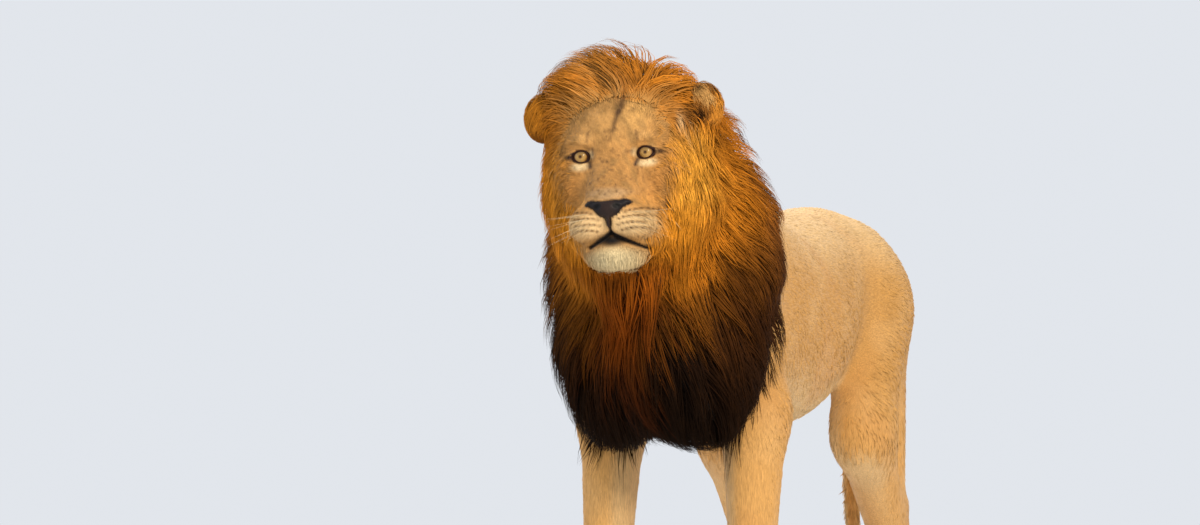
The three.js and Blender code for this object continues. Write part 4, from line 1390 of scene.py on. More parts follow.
@dataclass(frozen=True)
class LidFinish(Finish):
    """The hairless rim of the lids: dark skin, kept wet by the eye."""

    def look(self, tree: Tree, place: Socket) -> dict:
        """The rim's own colours, with fine pores."""
        pores = add(tree, "ShaderNodeTexNoise", {"Vector": place, "Scale": 700.0, "Detail": 2.0})
        return {
            "Base Color": add(tree, "ShaderNodeAttribute", attribute_name="tint"),
            "Normal": add(tree, "ShaderNodeBump", {"Height": pores, "Distance": 0.0004}),
            "Roughness": 0.5,
            "IOR": 1.4,
            "Specular IOR Level": 0.2,
        }


@dataclass(frozen=True)
class EyeFinish(Finish):
    """A living eye under its tear film: an amber iris of fine spokes, a small round pupil and a dark outer ring."""

    RINGS = (
        (0.0, "#2A1A0E"), (0.1, "#2A1A0E"), (0.2, "#704E24"), (0.4, "#AC884A"),
        (0.74, "#AA844A"), (0.9, "#7C5426"), (0.97, "#4A2E16"), (1.0, "#2A190C"),
    )  # fmt: skip

    def look(self, tree: Tree, place: Socket) -> dict:
        """Rings round the gaze, crossed by spokes, with the upper lid's shadow painted over the top of the iris."""
        gaze = add(tree, "ShaderNodeAttribute", attribute_name="gaze").outputs["Vector"]
        radius = add(tree, "ShaderNodeVectorMath", {0: gaze}, operation="LENGTH").outputs["Value"]
        outward = add(tree, "ShaderNodeVectorMath", {0: gaze}, operation="NORMALIZE")
        spokes = add(tree, "ShaderNodeTexNoise", {"Vector": outward, "Scale": 9.0, "Detail": 5.0, "Roughness": 0.7})
        flecks = add(tree, "ShaderNodeTexNoise", {"Vector": gaze, "Scale": 5.0, "Detail": 2.0})
        wobble = add(tree, "ShaderNodeMath", {0: flecks, 1: 0.10, 2: radius}, operation="MULTIPLY_ADD")
        ring = add(tree, "ShaderNodeMath", {0: wobble, 1: 0.05}, operation="SUBTRACT")
        ramp = add(tree, "ShaderNodeValToRGB", {"Fac": ring})
        stops = ramp.color_ramp.elements
        while len(stops) < len(self.RINGS):
            stops.new(0.5)
        for stop, (position, code) in zip(stops, self.RINGS):
            stop.position, stop.color = position, (*linear(code), 1)
        height = add(tree, "ShaderNodeSeparateXYZ", {"Vector": gaze}).outputs["Y"]
        light = add(tree, "ShaderNodeMapRange", {"Value": spokes, **ends(0.3, 0.7, 0.7, 1.25)})
        # painted shadow of the upper lid over the top of the iris
        brow = add(tree, "ShaderNodeMapRange", {"Value": height, **ends(0.0, 0.75, 1.0, 0.34)})
        shade = add(tree, "ShaderNodeMath", {0: light, 1: brow}, operation="MULTIPLY")
        return {
            "Base Color": add(tree, "ShaderNodeVectorMath", {0: ramp, "Scale": shade}, operation="SCALE"),
            "Roughness": 0.3,
            "IOR": 1.38,
            "Specular IOR Level": 0.2,
            "Coat Weight": 0.35,
            "Coat Roughness": 0.03,
        }


@dataclass(frozen=True)
class PlasterFinish(Finish):
    """Pale, matt plaster, trowelled smooth and very faintly clouded."""

    def look(self, tree: Tree, place: Socket) -> dict:
        """Slow clouds of two pale greys."""
        clouds = add(tree, "ShaderNodeTexNoise", {"Vector": place, "Scale": 0.8, "Detail": 2.0})
        ramp = add(tree, "ShaderNodeValToRGB", {"Fac": clouds})
        for stop, code in zip(ramp.color_ramp.elements, ("#DADADA", "#E6E5E3")):
            stop.color = (*linear(code), 1)
        return {"Base Color": ramp, "Roughness": 0.9}


class Finishes:
    """One material of each finish."""

    def __init__(self) -> None:
        """Makes them."""
        self.pelt = PeltFinish("pelt").material()
        self.coat = HairFinish("coat_hair", 0.7, 0.12).material()
        self.mane = HairFinish("mane_hair", 0.66, 0.03).material()
        self.whisker = HairFinish("whisker_hair", 0.35, 0.5).material()
        self.nose = NoseFinish("nose_leather").material()
        self.lid = LidFinish("lid_skin").material()
        self.eye = EyeFinish("eye_wet").material()


def declare(piece: Piece, slot: str, *nodes: str) -> None:
    """Lets a finished piece ride on the body, hides the nodes that it stands for and logs how many triangles it has."""
    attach(piece, BODY_NODE)
    if nodes:
        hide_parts(*nodes)
    piece.data.calc_loop_triangles()
    log.info("%s: %d triangles", piece.name, len(piece.data.loop_triangles))


# ---- skin


@dataclass(frozen=True)
class Skin:
    """The one skin of trunk, neck, head, legs and tail, with the cups of the ears."""

    NODES = (
        "torso", "neck", "head", "ear_left", "ear_right", "tail",
        "foreleg_left", "foreleg_right", "hindleg_left", "hindleg_right",
        "paw_fore_left", "paw_fore_right", "paw_hind_left", "paw_hind_right",
    )  # fmt: skip

    @staticmethod
    def lines() -> list[Array]:
        """The grid that the skin is meshed on, finest over the face."""
        return [
            both_ways((100, 4.1), (216, 7.0), (240, 12)),
            grid_lines(-1140, (-925, 3.9), (-780, 7), (-640, 10), (-330, 11), (560, 13), (850, 9)),
            grid_lines(-12, (120, 5.5), (640, 13), (900, 11), (935, 7), (1195, 4.1), (1345, 8)),
        ]

    @staticmethod
    def distance(points: Array) -> Array:
        """How far points are outside the skin."""
        d = ANATOMY.whole(lambda part: part.at(points), points[:, 1], points[:, 2])
        near = points[:, 1] < FACE_Y
        d[near] += ANATOMY.folds(*HEAD.into(points[near]).T)
        return d

    def shell(self) -> Shell:
        """The skin without the ears."""
        lines = [line.astype(np.float32) for line in self.lines()]
        _, y, z = np.ix_(*lines)
        values = ANATOMY.whole(lambda part: part.on_grid(lines), y, z)
        front = int(np.searchsorted(lines[1], FACE_Y))
        x, y, z = np.meshgrid(lines[0], lines[1][:front], lines[2], indexing="ij")
        face = HEAD.into(np.stack([x.ravel(), y.ravel(), z.ravel()], axis=1))
        values[:, :front] += ANATOMY.folds(*face.T).reshape(x.shape)
        rough = net_of(closed_rim(values), [line.astype(float) for line in lines])
        points, _ = settled(self.distance, rough.points, 1)
        move = points - rough.points
        size = np.linalg.norm(move, axis=1, keepdims=True)
        return Shell(rough.points + move * np.minimum(1, 4.0 / np.maximum(size, 1e-6)), rough.faces)

    @staticmethod
    def ear(side: int) -> Shell:
        """One ear's cup."""
        cup = Ear(side).field()
        low, high = cup.masses[0].reach
        lines = [np.arange(a - 6, b + 6, 2.8) for a, b in zip(low, high)]
        rough = net_of(closed_rim(cup.on_grid(lines)), lines)
        return Shell(settled(cup.at, rough.points, 1)[0], rough.faces)

    def build(self, material: Material) -> tuple[Shell, list[Shell]]:
        """Builds the skin with its markings.

        Args:
            material: its finish.

        Returns:
            The shell of the body and those of the ears, left first.
        """
        shell, ears = self.shell(), [self.ear(1), self.ear(-1)]
        parts = (shell, *ears)
        starts = np.cumsum([0, *(len(part.points) for part in parts[:-1])])
        points = np.concatenate([part.points for part in parts])
        faces = np.concatenate([part.faces + start for part, start in zip(parts, starts)])
        tints = [MARKINGS.tint(shell.points, shell.outs), ear_tint(1, ears[0].points), ear_tint(-1, ears[1].points)]
        piece = mesh_piece("skin", points, faces, material)
        paint(piece, np.concatenate(tints))
        upright = np.maximum(smooth(points[:, 2], 760, 560), 0.5 * smooth(points[:, 1], -840, -880))
        keep(piece.data, "upright", upright)
        declare(piece, "coat", *self.NODES)
        return shell, ears


def ear_tint(side: int, points: Array) -> Array:
    """The ear's colours: painted shade in the hollow, brown on the back and tan at the rim."""
    hollow = Ear(side).hollow(points)
    z = HEAD.into(points)[:, 2]
    colour = np.tile(Hue.EAR_BACK, (len(points), 1))
    lay(colour, Hue.EAR_TIP, smooth(z, 96, 134))
    # painted shade: darker down in the hollow of the cup
    lay(colour, Hue.EAR_INSIDE, smooth(hollow, 5.0, 1.0))
    return colour


# ---- eyes and lids


def ring_faces(rings: int, sides: int, wrap: bool = False) -> Array:
    """Four-sided faces between rows of points that each close on themselves.

    Args:
        rings: how many rows there are.
        sides: how many points a row has.
        wrap: whether the last row joins the first.

    Returns:
        Corner numbers.
    """
    ring = np.arange(rings if wrap else rings - 1)[:, None]
    side = np.arange(sides)[None]
    a, b = ring * sides + side, ring * sides + (side + 1) % sides
    after = (ring + 1) % rings * sides
    c, d = after + (side + 1) % sides, after + side
    return np.stack([a, b, c, d], axis=-1).reshape(-1, 4)


@dataclass(frozen=True)
class Eye:
    """One eyeball, its clear front a little steeper than the ball."""

    side: int
    at: Point = (66.0, -6.0, 0.0)
    radius: float = 19.0
    cornea: float = 1.5
    iris: float = 13.6
    rings: int = 44
    sides: int = 56

    @property
    def name(self) -> str:
        """The node that it stands for."""
        return f"eye_{side_name(self.side)}"

    def build(self, material: Material) -> None:
        """Builds the eyeball, with where each point is from the gaze kept for its finish."""
        polar = np.linspace(0.004, math.pi - 0.004, self.rings)[:, None]
        turn = np.linspace(0, 2 * math.pi, self.sides, endpoint=False)[None]
        radius = self.radius + self.cornea * smooth(np.cos(polar), math.cos(0.84), 1.0)
        a = radius * np.sin(polar) * np.cos(turn)
        b = radius * np.sin(polar) * np.sin(turn)
        c = -radius * np.cos(polar) + 0 * turn
        local = np.stack([a, c, b], axis=-1).reshape(-1, 3)
        x, y, z = self.at
        points = HEAD.out_of(local + np.array([self.side * x, y, z]))
        piece = mesh_piece(self.name.replace("eye", "eyeball"), points, ring_faces(self.rings, self.sides), material)
        gaze = np.stack([a, b, 0 * a], axis=-1).reshape(-1, 3) / self.iris
        behind = np.repeat(polar > 1.2, self.sides, axis=1).ravel()
        gaze[behind] = (1.2, 0.0, 0.0)
        keep(piece.data, "gaze", gaze)
        close_holes(piece)
        declare(piece, "eye", self.name)


def close_holes(piece: Piece) -> None:
    """Closes the tiny openings at the poles of a piece and turns its faces outwards."""
    work = bmesh.new()
    work.from_mesh(piece.data)
    bmesh.ops.holes_fill(work, edges=[e for e in work.edges if e.is_boundary], sides=0)
    bmesh.ops.recalc_face_normals(work, faces=work.faces)
    work.to_mesh(piece.data)
    work.free()
    piece.data.shade_smooth()


@dataclass(frozen=True)
class Lids:
    """The rim of both lids round one eye, from the wet edge on the eyeball out into the fur."""

    eye: Eye
    OUTLINE = (
        (19.5, 0.5), (12, 5.8), (4, 9.0), (-4, 9.6), (-10.5, 6.8),
        (-15.5, -3.5), (-11.5, -9.2), (-4, -11.2), (4.5, -10.2), (12.5, -5.6),
    )  # fmt: skip
    ROWS = ((0.84, -3.0), (0.95, 0.3), (1.02, 1.3), (1.12, 1.7))  # how wide, and how far out of the eyeball
    DARK = ((1.0, 1.0, 1.0, 1.0, 0.95, 0.2), (1.0, 1.0, 1.0, 0.85, 0.15, 0.0))  # how dark each row is above and below
    FUR_ROWS = ((1.3, 0.6), (1.72, -3.5))  # how wide, and how far out of the skin
    SIDES = 72

    def edge(self) -> Array:
        """The opening's edge, sideways and upwards from the middle of the eye: an almond, highest at its inner side."""
        path = np.array([*self.OUTLINE[-1:], *self.OUTLINE, *self.OUTLINE[:2]])[None]
        t = 1 + np.linspace(0, len(self.OUTLINE), self.SIDES, endpoint=False)[None]
        return on_curve(path, np.array([0]), t)[0]

    def build(self, material: Material) -> None:
        """Builds the rim as one closed ring."""
        edge = self.edge()
        x, y, z = self.eye.at
        middle = np.array([self.eye.side * x, y, z])
        rows = []
        for scale, lift in (*self.ROWS, *self.FUR_ROWS):
            a, b = (edge * scale).T
            deep = np.sqrt(np.maximum(self.eye.radius**2 - 0.78 * (a * a + b * b), 40.0))
            front = np.stack([self.eye.side * a, -deep, b], axis=1)
            on_ball = HEAD.out_of(middle + front * (1 + max(lift, -3.0) / self.eye.radius))
            if (scale, lift) in self.FUR_ROWS:
                at, out = settled(Skin.distance, on_ball, 3)
                rows.append(at + lift * out)
            else:
                rows.append(on_ball)
        points = np.concatenate(rows)
        faces = ring_faces(len(rows), self.SIDES, wrap=True)
        piece = mesh_piece(f"lids_{side_name(self.eye.side)}", points, faces, material)
        tint = MARKINGS.on_face(points)
        low = smooth(np.tile(edge[:, 1], len(rows)), 0, -5)
        above, below = (np.repeat(row, self.SIDES) for row in self.DARK)
        dark = ((1 - low) * above + low * below)[:, None]
        paint(piece, tint + dark * (Hue.RIM - tint))
        close_holes(piece)
        declare(piece, "coat")


# ---- nose and whiskers


@dataclass(frozen=True)
class Nose:
    """The bare nose pad."""

    step: float = 2.0

    @staticmethod
    def colours(points: Array) -> Array:
        """Purple-brown in the middle, darker on the wings, and nearly black in the nostrils as painted shade."""
        x = HEAD.into(points)[:, 0]
        hollow = np.min([mass.distance(*points.T) for mass in ANATOMY.nose.masses if mass.carve], axis=0)
        colour = np.tile(Hue.NOSE, (len(points), 1))
        lay(colour, Hue.NOSE_WING, smooth(np.abs(x), 8, 24))
        # painted shade: nearly black down in the hollows of the nostrils
        return colour * (0.12 + 0.88 * smooth(hollow, 0.0, 3.5))[:, None]

    def build(self, material: Material) -> None:
        """Builds the nose as one closed piece."""
        pad = ANATOMY.nose
        corners = np.array([corner for mass in pad.masses if not mass.carve for corner in mass.reach])
        lines = [np.arange(a - 6, b + 6, self.step) for a, b in zip(corners.min(0), corners.max(0))]
        rough = net_of(closed_rim(pad.on_grid(lines)), lines)
        points, _ = settled(pad.at, rough.points, 1)
        piece = mesh_piece("nose_pad", points, rough.faces, material)
        paint(piece, self.colours(points))
        declare(piece, "nose", "nose")


@dataclass(frozen=True)
class Whiskers:
    """Long white whiskers in four rows on each side of the muzzle, thickest at the root and bowed at the tip."""

    longest: float = 92.0
    thickness: float = 0.22
    bend: float = 0.16
    seed: int = 17

    def roots(self) -> tuple[Array, Array, Array]:
        """Where they grow, which way, and how long they are."""
        draw = np.random.default_rng(self.seed)
        places, ways, lengths = [], [], []
        for s in (1, -1):
            for x, z in (root for row in whisker_rows() for root in row[1:5]):
                start = np.array([s * x, -175.0, z])
                at, out = settled(ANATOMY.flesh.at, HEAD.out_of(start + np.array([0.0, 40.0, 0.0]))[None], 6)
                side = HEAD.turn @ np.array([s * 1.0, 0.25, -0.28 + 0.004 * (z + 130)])
                places.append(at[0])
                ways.append(unit(out[0] * 0.55 + side + 0.08 * draw.normal(size=3)))
                share = 0.35 + 0.65 * smooth(np.array([x]), 18, 60)[0]
                lengths.append(self.longest * share * draw.uniform(0.75, 1))
        return np.array(places), np.array(ways), np.array(lengths)

    def tree(self, material: Material) -> Tree:
        """The Geometry Nodes that set a bowed, tapered whisker on every point."""
        tree = bpy.data.node_groups.new("whiskers", "GeometryNodeTree")
        for name, kind in (("Geometry", "Geometry"), ("Thickness", "Float"), ("Bend", "Float")):
            tree.interface.new_socket(name, in_out="INPUT", socket_type=f"NodeSocket{kind}")
        tree.interface.new_socket("Geometry", in_out="OUTPUT", socket_type="NodeSocketGeometry")
        given = add(tree, "NodeGroupInput").outputs
        thick = given["Thickness"]
        shape = {"Vertices": 5, "Side Segments": 9, "Radius Top": 0.08, "Radius Bottom": 1.0, "Depth": 1.0}
        cone = add(tree, "GeometryNodeMeshCone", shape)
        place = add(tree, "GeometryNodeInputPosition")
        height = add(tree, "ShaderNodeSeparateXYZ", {"Vector": place}).outputs["Z"]
        square = add(tree, "ShaderNodeMath", {0: height, 1: height}, operation="MULTIPLY")
        bow = add(tree, "ShaderNodeMath", {0: square, 1: given["Bend"]}, operation="MULTIPLY")
        across = add(tree, "ShaderNodeMath", {0: bow, 1: thick}, operation="DIVIDE")
        offset = add(tree, "ShaderNodeCombineXYZ", {"X": across})
        bowed = add(tree, "GeometryNodeSetPosition", {"Geometry": cone, "Offset": offset})
        way = add(tree, "GeometryNodeInputNamedAttribute", {"Name": "way"}, data_type="FLOAT_VECTOR")
        length = add(tree, "GeometryNodeInputNamedAttribute", {"Name": "reach"}, data_type="FLOAT")
        turn = add(tree, "FunctionNodeAlignRotationToVector", {"Vector": way}, axis="Z")
        size = add(tree, "ShaderNodeCombineXYZ", {"X": thick, "Y": thick, "Z": length})
        spread = {"Points": given["Geometry"], "Instance": bowed, "Rotation": turn, "Scale": size}
        every = add(tree, "GeometryNodeInstanceOnPoints", spread)
        real = add(tree, "GeometryNodeRealizeInstances", {"Geometry": every})
        dressed = add(tree, "GeometryNodeSetMaterial", {"Geometry": real, "Material": material})
        add(tree, "NodeGroupOutput", {"Geometry": dressed})
        return tree

    def build(self, material: Material) -> None:
        """Builds all whiskers as one plain mesh."""
        places, ways, lengths = self.roots()
        mesh = bpy.data.meshes.new("whisker_roots")
        mesh.from_pydata(in_metres(places).tolist(), [], [])
        keep(mesh, "way", ways)
        keep(mesh, "reach", lengths / 1000)
        holder = placed("whisker_roots", mesh)
        modifier = holder.modifiers.new("whiskers", "NODES")
        modifier.node_group = self.tree(material)
        sizes = {"Thickness": self.thickness / 1000, "Bend": self.bend * self.longest / 1e6}
        for item in modifier.node_group.interface.items_tree:
            if item.name in sizes:
                modifier[item.identifier] = sizes[item.name]
        done = holder.evaluated_get(bpy.context.evaluated_depsgraph_get())
        made = bpy.data.meshes.new_from_object(done)
        bpy.data.objects.remove(holder)
        piece = placed("whiskers", made)
        paint(piece, np.tile(Hue.WHISKER, (len(made.vertices), 1)))
        declare(piece, "coat")


# ---- mane


def on_curve(path: Array, rows: Array, t: Array) -> Array:
    """Points on smooth curves through rows of points.

    Args:
        path: the rows of points.
        rows: which row each curve uses.
        t: where on it, counted in its points, one row of places a curve.

    Returns:
        The points, one row a curve.
    """
    last = path.shape[1] - 1
    low = np.minimum(t.astype(int), last - 1)
    m = (t - low)[..., None]
    row = rows[:, None]
    a, b, c, d = (path[row, np.clip(low + k, 0, last)] for k in (-1, 0, 1, 2))
    return 0.5 * (2 * b + (c - a) * m + (2 * a - 5 * b + 4 * c - d) * m**2 + (3 * b - a - 3 * c + d) * m**3)


class Part(Enum):
    """The parts of the mane, each a piece of its own."""

    CROWN = "mane_crown"
    RUFF = "mane_ruff"
    NECK_LEFT = "mane_neck_left"
    NECK_RIGHT = "mane_neck_right"
    CHEST = "mane_chest"


@dataclass(frozen=True)
class Lock:
    """How the hair of one part of the mane grows, in clumps round a guide."""

    length: float
    guides: int
    strands: int  # in a clump
    clump: float  # how wide a clump is at its root
    width: float = 2.3
    wave: float = 3.0
    gather: float = 0.6  # how far a clump draws together towards its tip


LOCKS = {
    Part.CROWN: Lock(190, 620, 14, 13, 1.8, 1.2, 0.4),
    Part.RUFF: Lock(185, 640, 14, 13, 1.8, 1.2, 0.4),
    Part.NECK_LEFT: Lock(235, 480, 14, 15, 2.2, 1.8),
    Part.NECK_RIGHT: Lock(235, 480, 14, 15, 2.2, 1.8),
    Part.CHEST: Lock(225, 480, 14, 15, 2.2, 2.0),
}


@dataclass(frozen=True)
class Mane:
    """The mane, which leaves the core all over and bends out until its tips are at the mane's outline."""

    map: Unwrap = Unwrap((0, -560, 900), (0, -0.86, 0.5), (0, -0.5, -0.86))
    steps: int = 5
    rings: int = 4
    seed: int = 31

    @staticmethod
    def cover(shell: Shell) -> Array:
        """Where the mane grows on the skin, from 0 to 1."""
        flesh, legs, tips = (part.at(shell.points) for part in (ANATOMY.flesh, ANATOMY.legs, ANATOMY.tips))
        cheeks = smooth(past_face(shell.points), -16, 22) * smooth(HEAD.into(shell.points)[:, 1], -64, -42)
        grown = np.maximum(smooth(flesh, 0.5, 3.5) * smooth(tips, 0, -6), cheeks * (shell.points[:, 1] < -800))
        return grown * smooth(legs, 2, 9) * (shell.points[:, 1] < MANE_Y)

    @staticmethod
    def parts_of(points: Array) -> dict[Part, Array]:
        """Which places belong to which part."""
        x, y, z = points.T
        _, hy, hz = HEAD.into(points).T
        crown = (hz > 62) & (hy < 330)
        ruff = ~crown & (hy < 150) & (hz > -190)
        chest = ~crown & ~ruff & (z < 905) & (y < -600)
        rest = ~crown & ~ruff & ~chest
        return {
            Part.CROWN: crown,
            Part.RUFF: ruff,
            Part.CHEST: chest,
            Part.NECK_LEFT: rest & (x >= 0),
            Part.NECK_RIGHT: rest & (x < 0),
        }

    @staticmethod
    def outline(points: Array, rise: Array) -> Array:
        """A shell between the core, where rise is 0, and the tips, where it is 1, clear of the flesh."""
        flesh, tips, legs = (part.at(points) for part in (ANATOMY.flesh, ANATOMY.tips, ANATOMY.legs))
        between = (1 - rise) * (flesh + tips) / 2 + rise * tips
        x, y, z = points.T
        left = smooth(x, 90, 170)
        high = 12 * smooth(z, 1270, 1350) * smooth(np.abs(x - 5), 170, 60) - 16 * left * smooth(z, 930, 850)
        high += 24 * left * smooth(z, 990, 1060) * smooth(z, 1300, 1230) * smooth(y, -900, -820)
        return np.minimum(between, np.minimum(flesh, legs) - 3 - 9 * rise) - high * np.maximum(rise, 0)

    def guides(self, roots: Roots, lock: Lock, draw: np.random.Generator) -> tuple[Array, Array]:
        """The paths of the guides.

        Args:
            roots: where they leave the skin.
            lock: how the hair grows there.
            draw: for what varies.

        Returns:
            The points of each path and the ways out of the shell there.
        """
        point, count = roots.points, len(roots)
        room, past = -ANATOMY.tips.at(point), past_face(point)
        length = lock.length * (0.42 + 0.58 * smooth(room, 8, 55)) * draw.uniform(0.8, 1.12, count)
        length *= 0.12 + 0.88 * smooth(past, -30, 55)
        hx, _, hz = HEAD.into(point).T
        flat = smooth(hx, -30, -105) * smooth(hz, 35, 85)
        crown = on_crown(point[:, 2] + 60)
        last = 1.04 - 0.6 * draw.random(count) ** 1.6 + 0.14 * crown
        top = smooth(hz, 70, 115)
        from_rim = 0.22 + 0.78 * smooth(past, -10, 70)
        last *= (1 - 0.7 * flat) * np.maximum(from_rim, top * (0.4 + 0.6 * smooth(past, -12, 25)))
        turn = 0.11 * draw.normal(size=count) + 0.24 * ripple(point, 140, 41)
        lift = 1 + (0.8 + crown) * smooth(past, 0, 60 - 35 * top)
        path, outs = [], []
        for step in range(self.steps + 1):
            t = step / self.steps
            rise = -0.25 + (last + 0.25) * (1 - (1 - t) ** lift)
            at, out = settled(lambda p: self.outline(p, rise), point, 2)
            way = along(lie_of_mane(at), out)
            angle = (turn * (1 - 0.5 * t))[:, None]
            way = way * np.cos(angle) + np.cross(out, way) * np.sin(angle)
            path.append(at)
            outs.append(out)
            point = at + way * (length / self.steps)[:, None]
        return np.stack(path, axis=1), np.stack(outs, axis=1)

    def strands(self, roots: Roots, lock: Lock, seed: int) -> Strands:
        """The strands of one part, each clump drawn together towards its tip."""
        draw = np.random.default_rng(seed)
        path, outs = self.guides(roots, lock, draw)
        guide = np.repeat(np.arange(len(roots)), lock.strands)
        count = len(guide)
        ends = draw.uniform(0.55, 1.0, count)
        t = np.linspace(0, 1, self.rings + 1)[None] * ends[:, None] * self.steps
        middle, out = on_curve(path, guide, t), unit(on_curve(outs, guide, t))
        ahead = unit(np.gradient(middle, axis=1))
        side = unit(np.cross(out, ahead))
        share = np.linspace(0, 1, self.rings + 1)[None]
        across = draw.normal(size=(count, 1)) * lock.clump * (1 - lock.gather * share)
        phase = draw.uniform(0.5, 1.1, (count, 1)) * share + draw.random((count, 1))
        wave = lock.wave * share * np.sin(2 * math.pi * phase)
        deep = draw.uniform(-1.0, 0.3, (count, 1)) * 7.0 * share**0.8
        paths = middle + side * (across + wave)[..., None] + out * deep[..., None]
        at_root = paths[:, 0]
        tint = MARKINGS.on_mane(paths.reshape(-1, 3)).reshape(paths.shape)
        tint = 0.7 * tint + 0.3 * tint[:, :1]
        vary = np.repeat(np.exp(0.18 * draw.normal(size=len(roots))), lock.strands)
        vary = vary * np.exp(0.12 * draw.normal(size=count))
        vary *= 1 - 0.4 * (draw.random(count) < 0.05)
        tint *= vary[:, None, None]
        _, hy, hz = HEAD.into(at_root).T
        near = smooth(past_face(at_root) - 10 * smooth(hz, 60, 100), 34, -8)
        near *= np.maximum(smooth(hz, -105, -75), smooth(hy, 0, -45) * smooth(hz, -190, -150))
        near = (near[:, None] * (1 - 0.8 * share))[..., None]
        # painted shade deep in the mane: each strand darker at its root and lighter towards its tip, but not near the
        # face
        shade = np.array([0.45, 0.78, 1.0, 1.06, 1.1])[None, :, None]
        tint *= 1 - (1 - shade) * (1 - near)
        top = smooth(HEAD.into(paths.reshape(-1, 3))[:, 2].reshape(count, -1), 150, 215)
        tint *= (1 - share**2 * np.maximum(0.25 * smooth(hy, 130, 230)[:, None], 0.55 * top))[..., None]
        tint += near * (MARKINGS.on_face(at_root)[:, None] - tint)
        return Strands(
            paths=paths,
            outs=out[:, : self.rings],
            widths=lock.width * draw.uniform(0.7, 1.25, count),
            tints=np.clip(tint, 0, 1),
            roots_uv=self.map.of(at_root),
            taper=(0.7, 1.0, 0.9, 0.6),
            soft=0.75,
        )

    def build(self, shell: Shell, material: Material) -> None:
        """Builds the mane's pieces."""
        cover = self.cover(shell)
        hem = np.exp(-(((past_face(shell.points) - 8) / 22) ** 2)) * (shell.points[:, 1] < -800)
        for number, (part, here) in enumerate(self.parts_of(shell.points).items()):
            lock = LOCKS[part]
            roots = scattered(shell, cover * here * (1 + 1.4 * hem), lock.guides, self.seed + number)
            declare(self.strands(roots, lock, self.seed + 10 * number).piece(part.value, material), "mane")


@dataclass(frozen=True)
class EarHair:
    """The fur of one ear: it springs from the rim and the cup and lies over the opening."""

    side: int
    length: float
    way: Point  # where it sweeps to, in the head's frame
    count: int = 1500
    width: float = 1.8
    seed: int = 81

    def colours(self, points: Array) -> Array:
        """Tan on the tip and golden brown below it, or gold all over where the crown's hair lies on the ear."""
        x, _, z = HEAD.into(points).T
        colour = np.tile(Hue.EAR_FUR if self.side > 0 else Hue.LONG_EAR_FUR, (len(points), 1))
        if self.side < 0:
            lay(colour, Hue.LONG_EAR_LOW, smooth(z, 92, 58))
            return colour
        lay(colour, Hue.EAR_GOLD, smooth(np.hypot((x - 190) / 26, (z - 84) / 34), 1.2, 0.8))
        lay(colour, Hue.EAR_KNOB, 0.9 * smooth(np.hypot((x - 159) / 19, (z - 115) / 18), 1.3, 0.7))
        # painted shadow over the hollow of the ear
        lay(colour, Hue.EAR_HOLE, smooth(np.hypot((x - 134) / 20, (z - 62) / 32), 1.2, 0.7))
        return colour

    def build(self, shell: Shell, material: Material) -> None:
        """Builds the fur as one piece.

        Args:
            shell: the ear's cup.
            material: its finish.
        """
        ear = Ear(self.side)
        ball = ear.field().masses[0]
        draw = np.random.default_rng(self.seed)
        front = 1 + 1.6 * (ear.hollow(shell.points) < 3)
        roots = scattered(shell, front, self.count, self.seed)
        count, steps = len(roots), 4
        length = self.length * draw.uniform(0.5, 1.1, count)
        away = HEAD.turn @ np.array(self.way)
        high = draw.uniform(0.5, 6.5, count)
        turn = 0.24 * draw.normal(size=(count, 3))
        turn = turn + 0.3 * np.stack([ripple(roots.points, 40, k) for k in (4, 5, 6)], axis=1)
        inside = (ear.hollow(roots.points) < 3)[:, None]
        point, path, outs = roots.points, [roots.points], [roots.outs]
        for step in range(1, steps + 1):
            point = point + along(away + turn, outs[-1]) * (length / steps)[:, None]
            if step == 1:
                point = point + inside * 30 * ear.opening
            rise = high * (step / steps) ** 0.6
            point, out = settled(lambda p: ball.distance(*p.T) - rise, point, 2)
            path.append(point)
            outs.append(out)
        outs[0] = outs[1]
        tint = self.colours(roots.points) * np.exp(0.18 * draw.normal(size=(count, 1)))
        # painted shade: each hair darker at its root and lighter towards its tip
        shade = np.array([0.45, 0.8, 1.0, 1.08, 1.12])
        middle = tuple(HEAD.out_of(np.array([self.side * 163.0, 128.0, 90.0])))
        strands = Strands(
            paths=np.stack(path, axis=1),
            outs=np.stack(outs[:steps], axis=1),
            widths=self.width * draw.uniform(0.7, 1.25, count),
            tints=np.clip(tint[:, None] * shade[None, :, None], 0, 1),
            roots_uv=Unwrap(middle, (0, 1, 0), (0, 0, -1)).of(roots.points),
        )
        declare(strands.piece(f"ear_hair_{side_name(self.side)}", material), "coat")


EAR_HAIR = (
    EarHair(1, 30.0, (0.35, -0.1, -0.9), count=2600),
    EarHair(-1, 66.0, (-0.75, -0.15, -0.85), count=1500, seed=82),
)


# ---- tail


def smooth_line(stops: tuple[tuple[float, ...], ...], count: int) -> list[tuple[float, ...]]:
    """A line through the same stops, bent evenly between them."""
    path = np.array(stops, float)[None]
    t = np.linspace(0, len(stops) - 1, count)[None]
    return [tuple(place) for place in on_curve(path, np.array([0]), t)[0]]


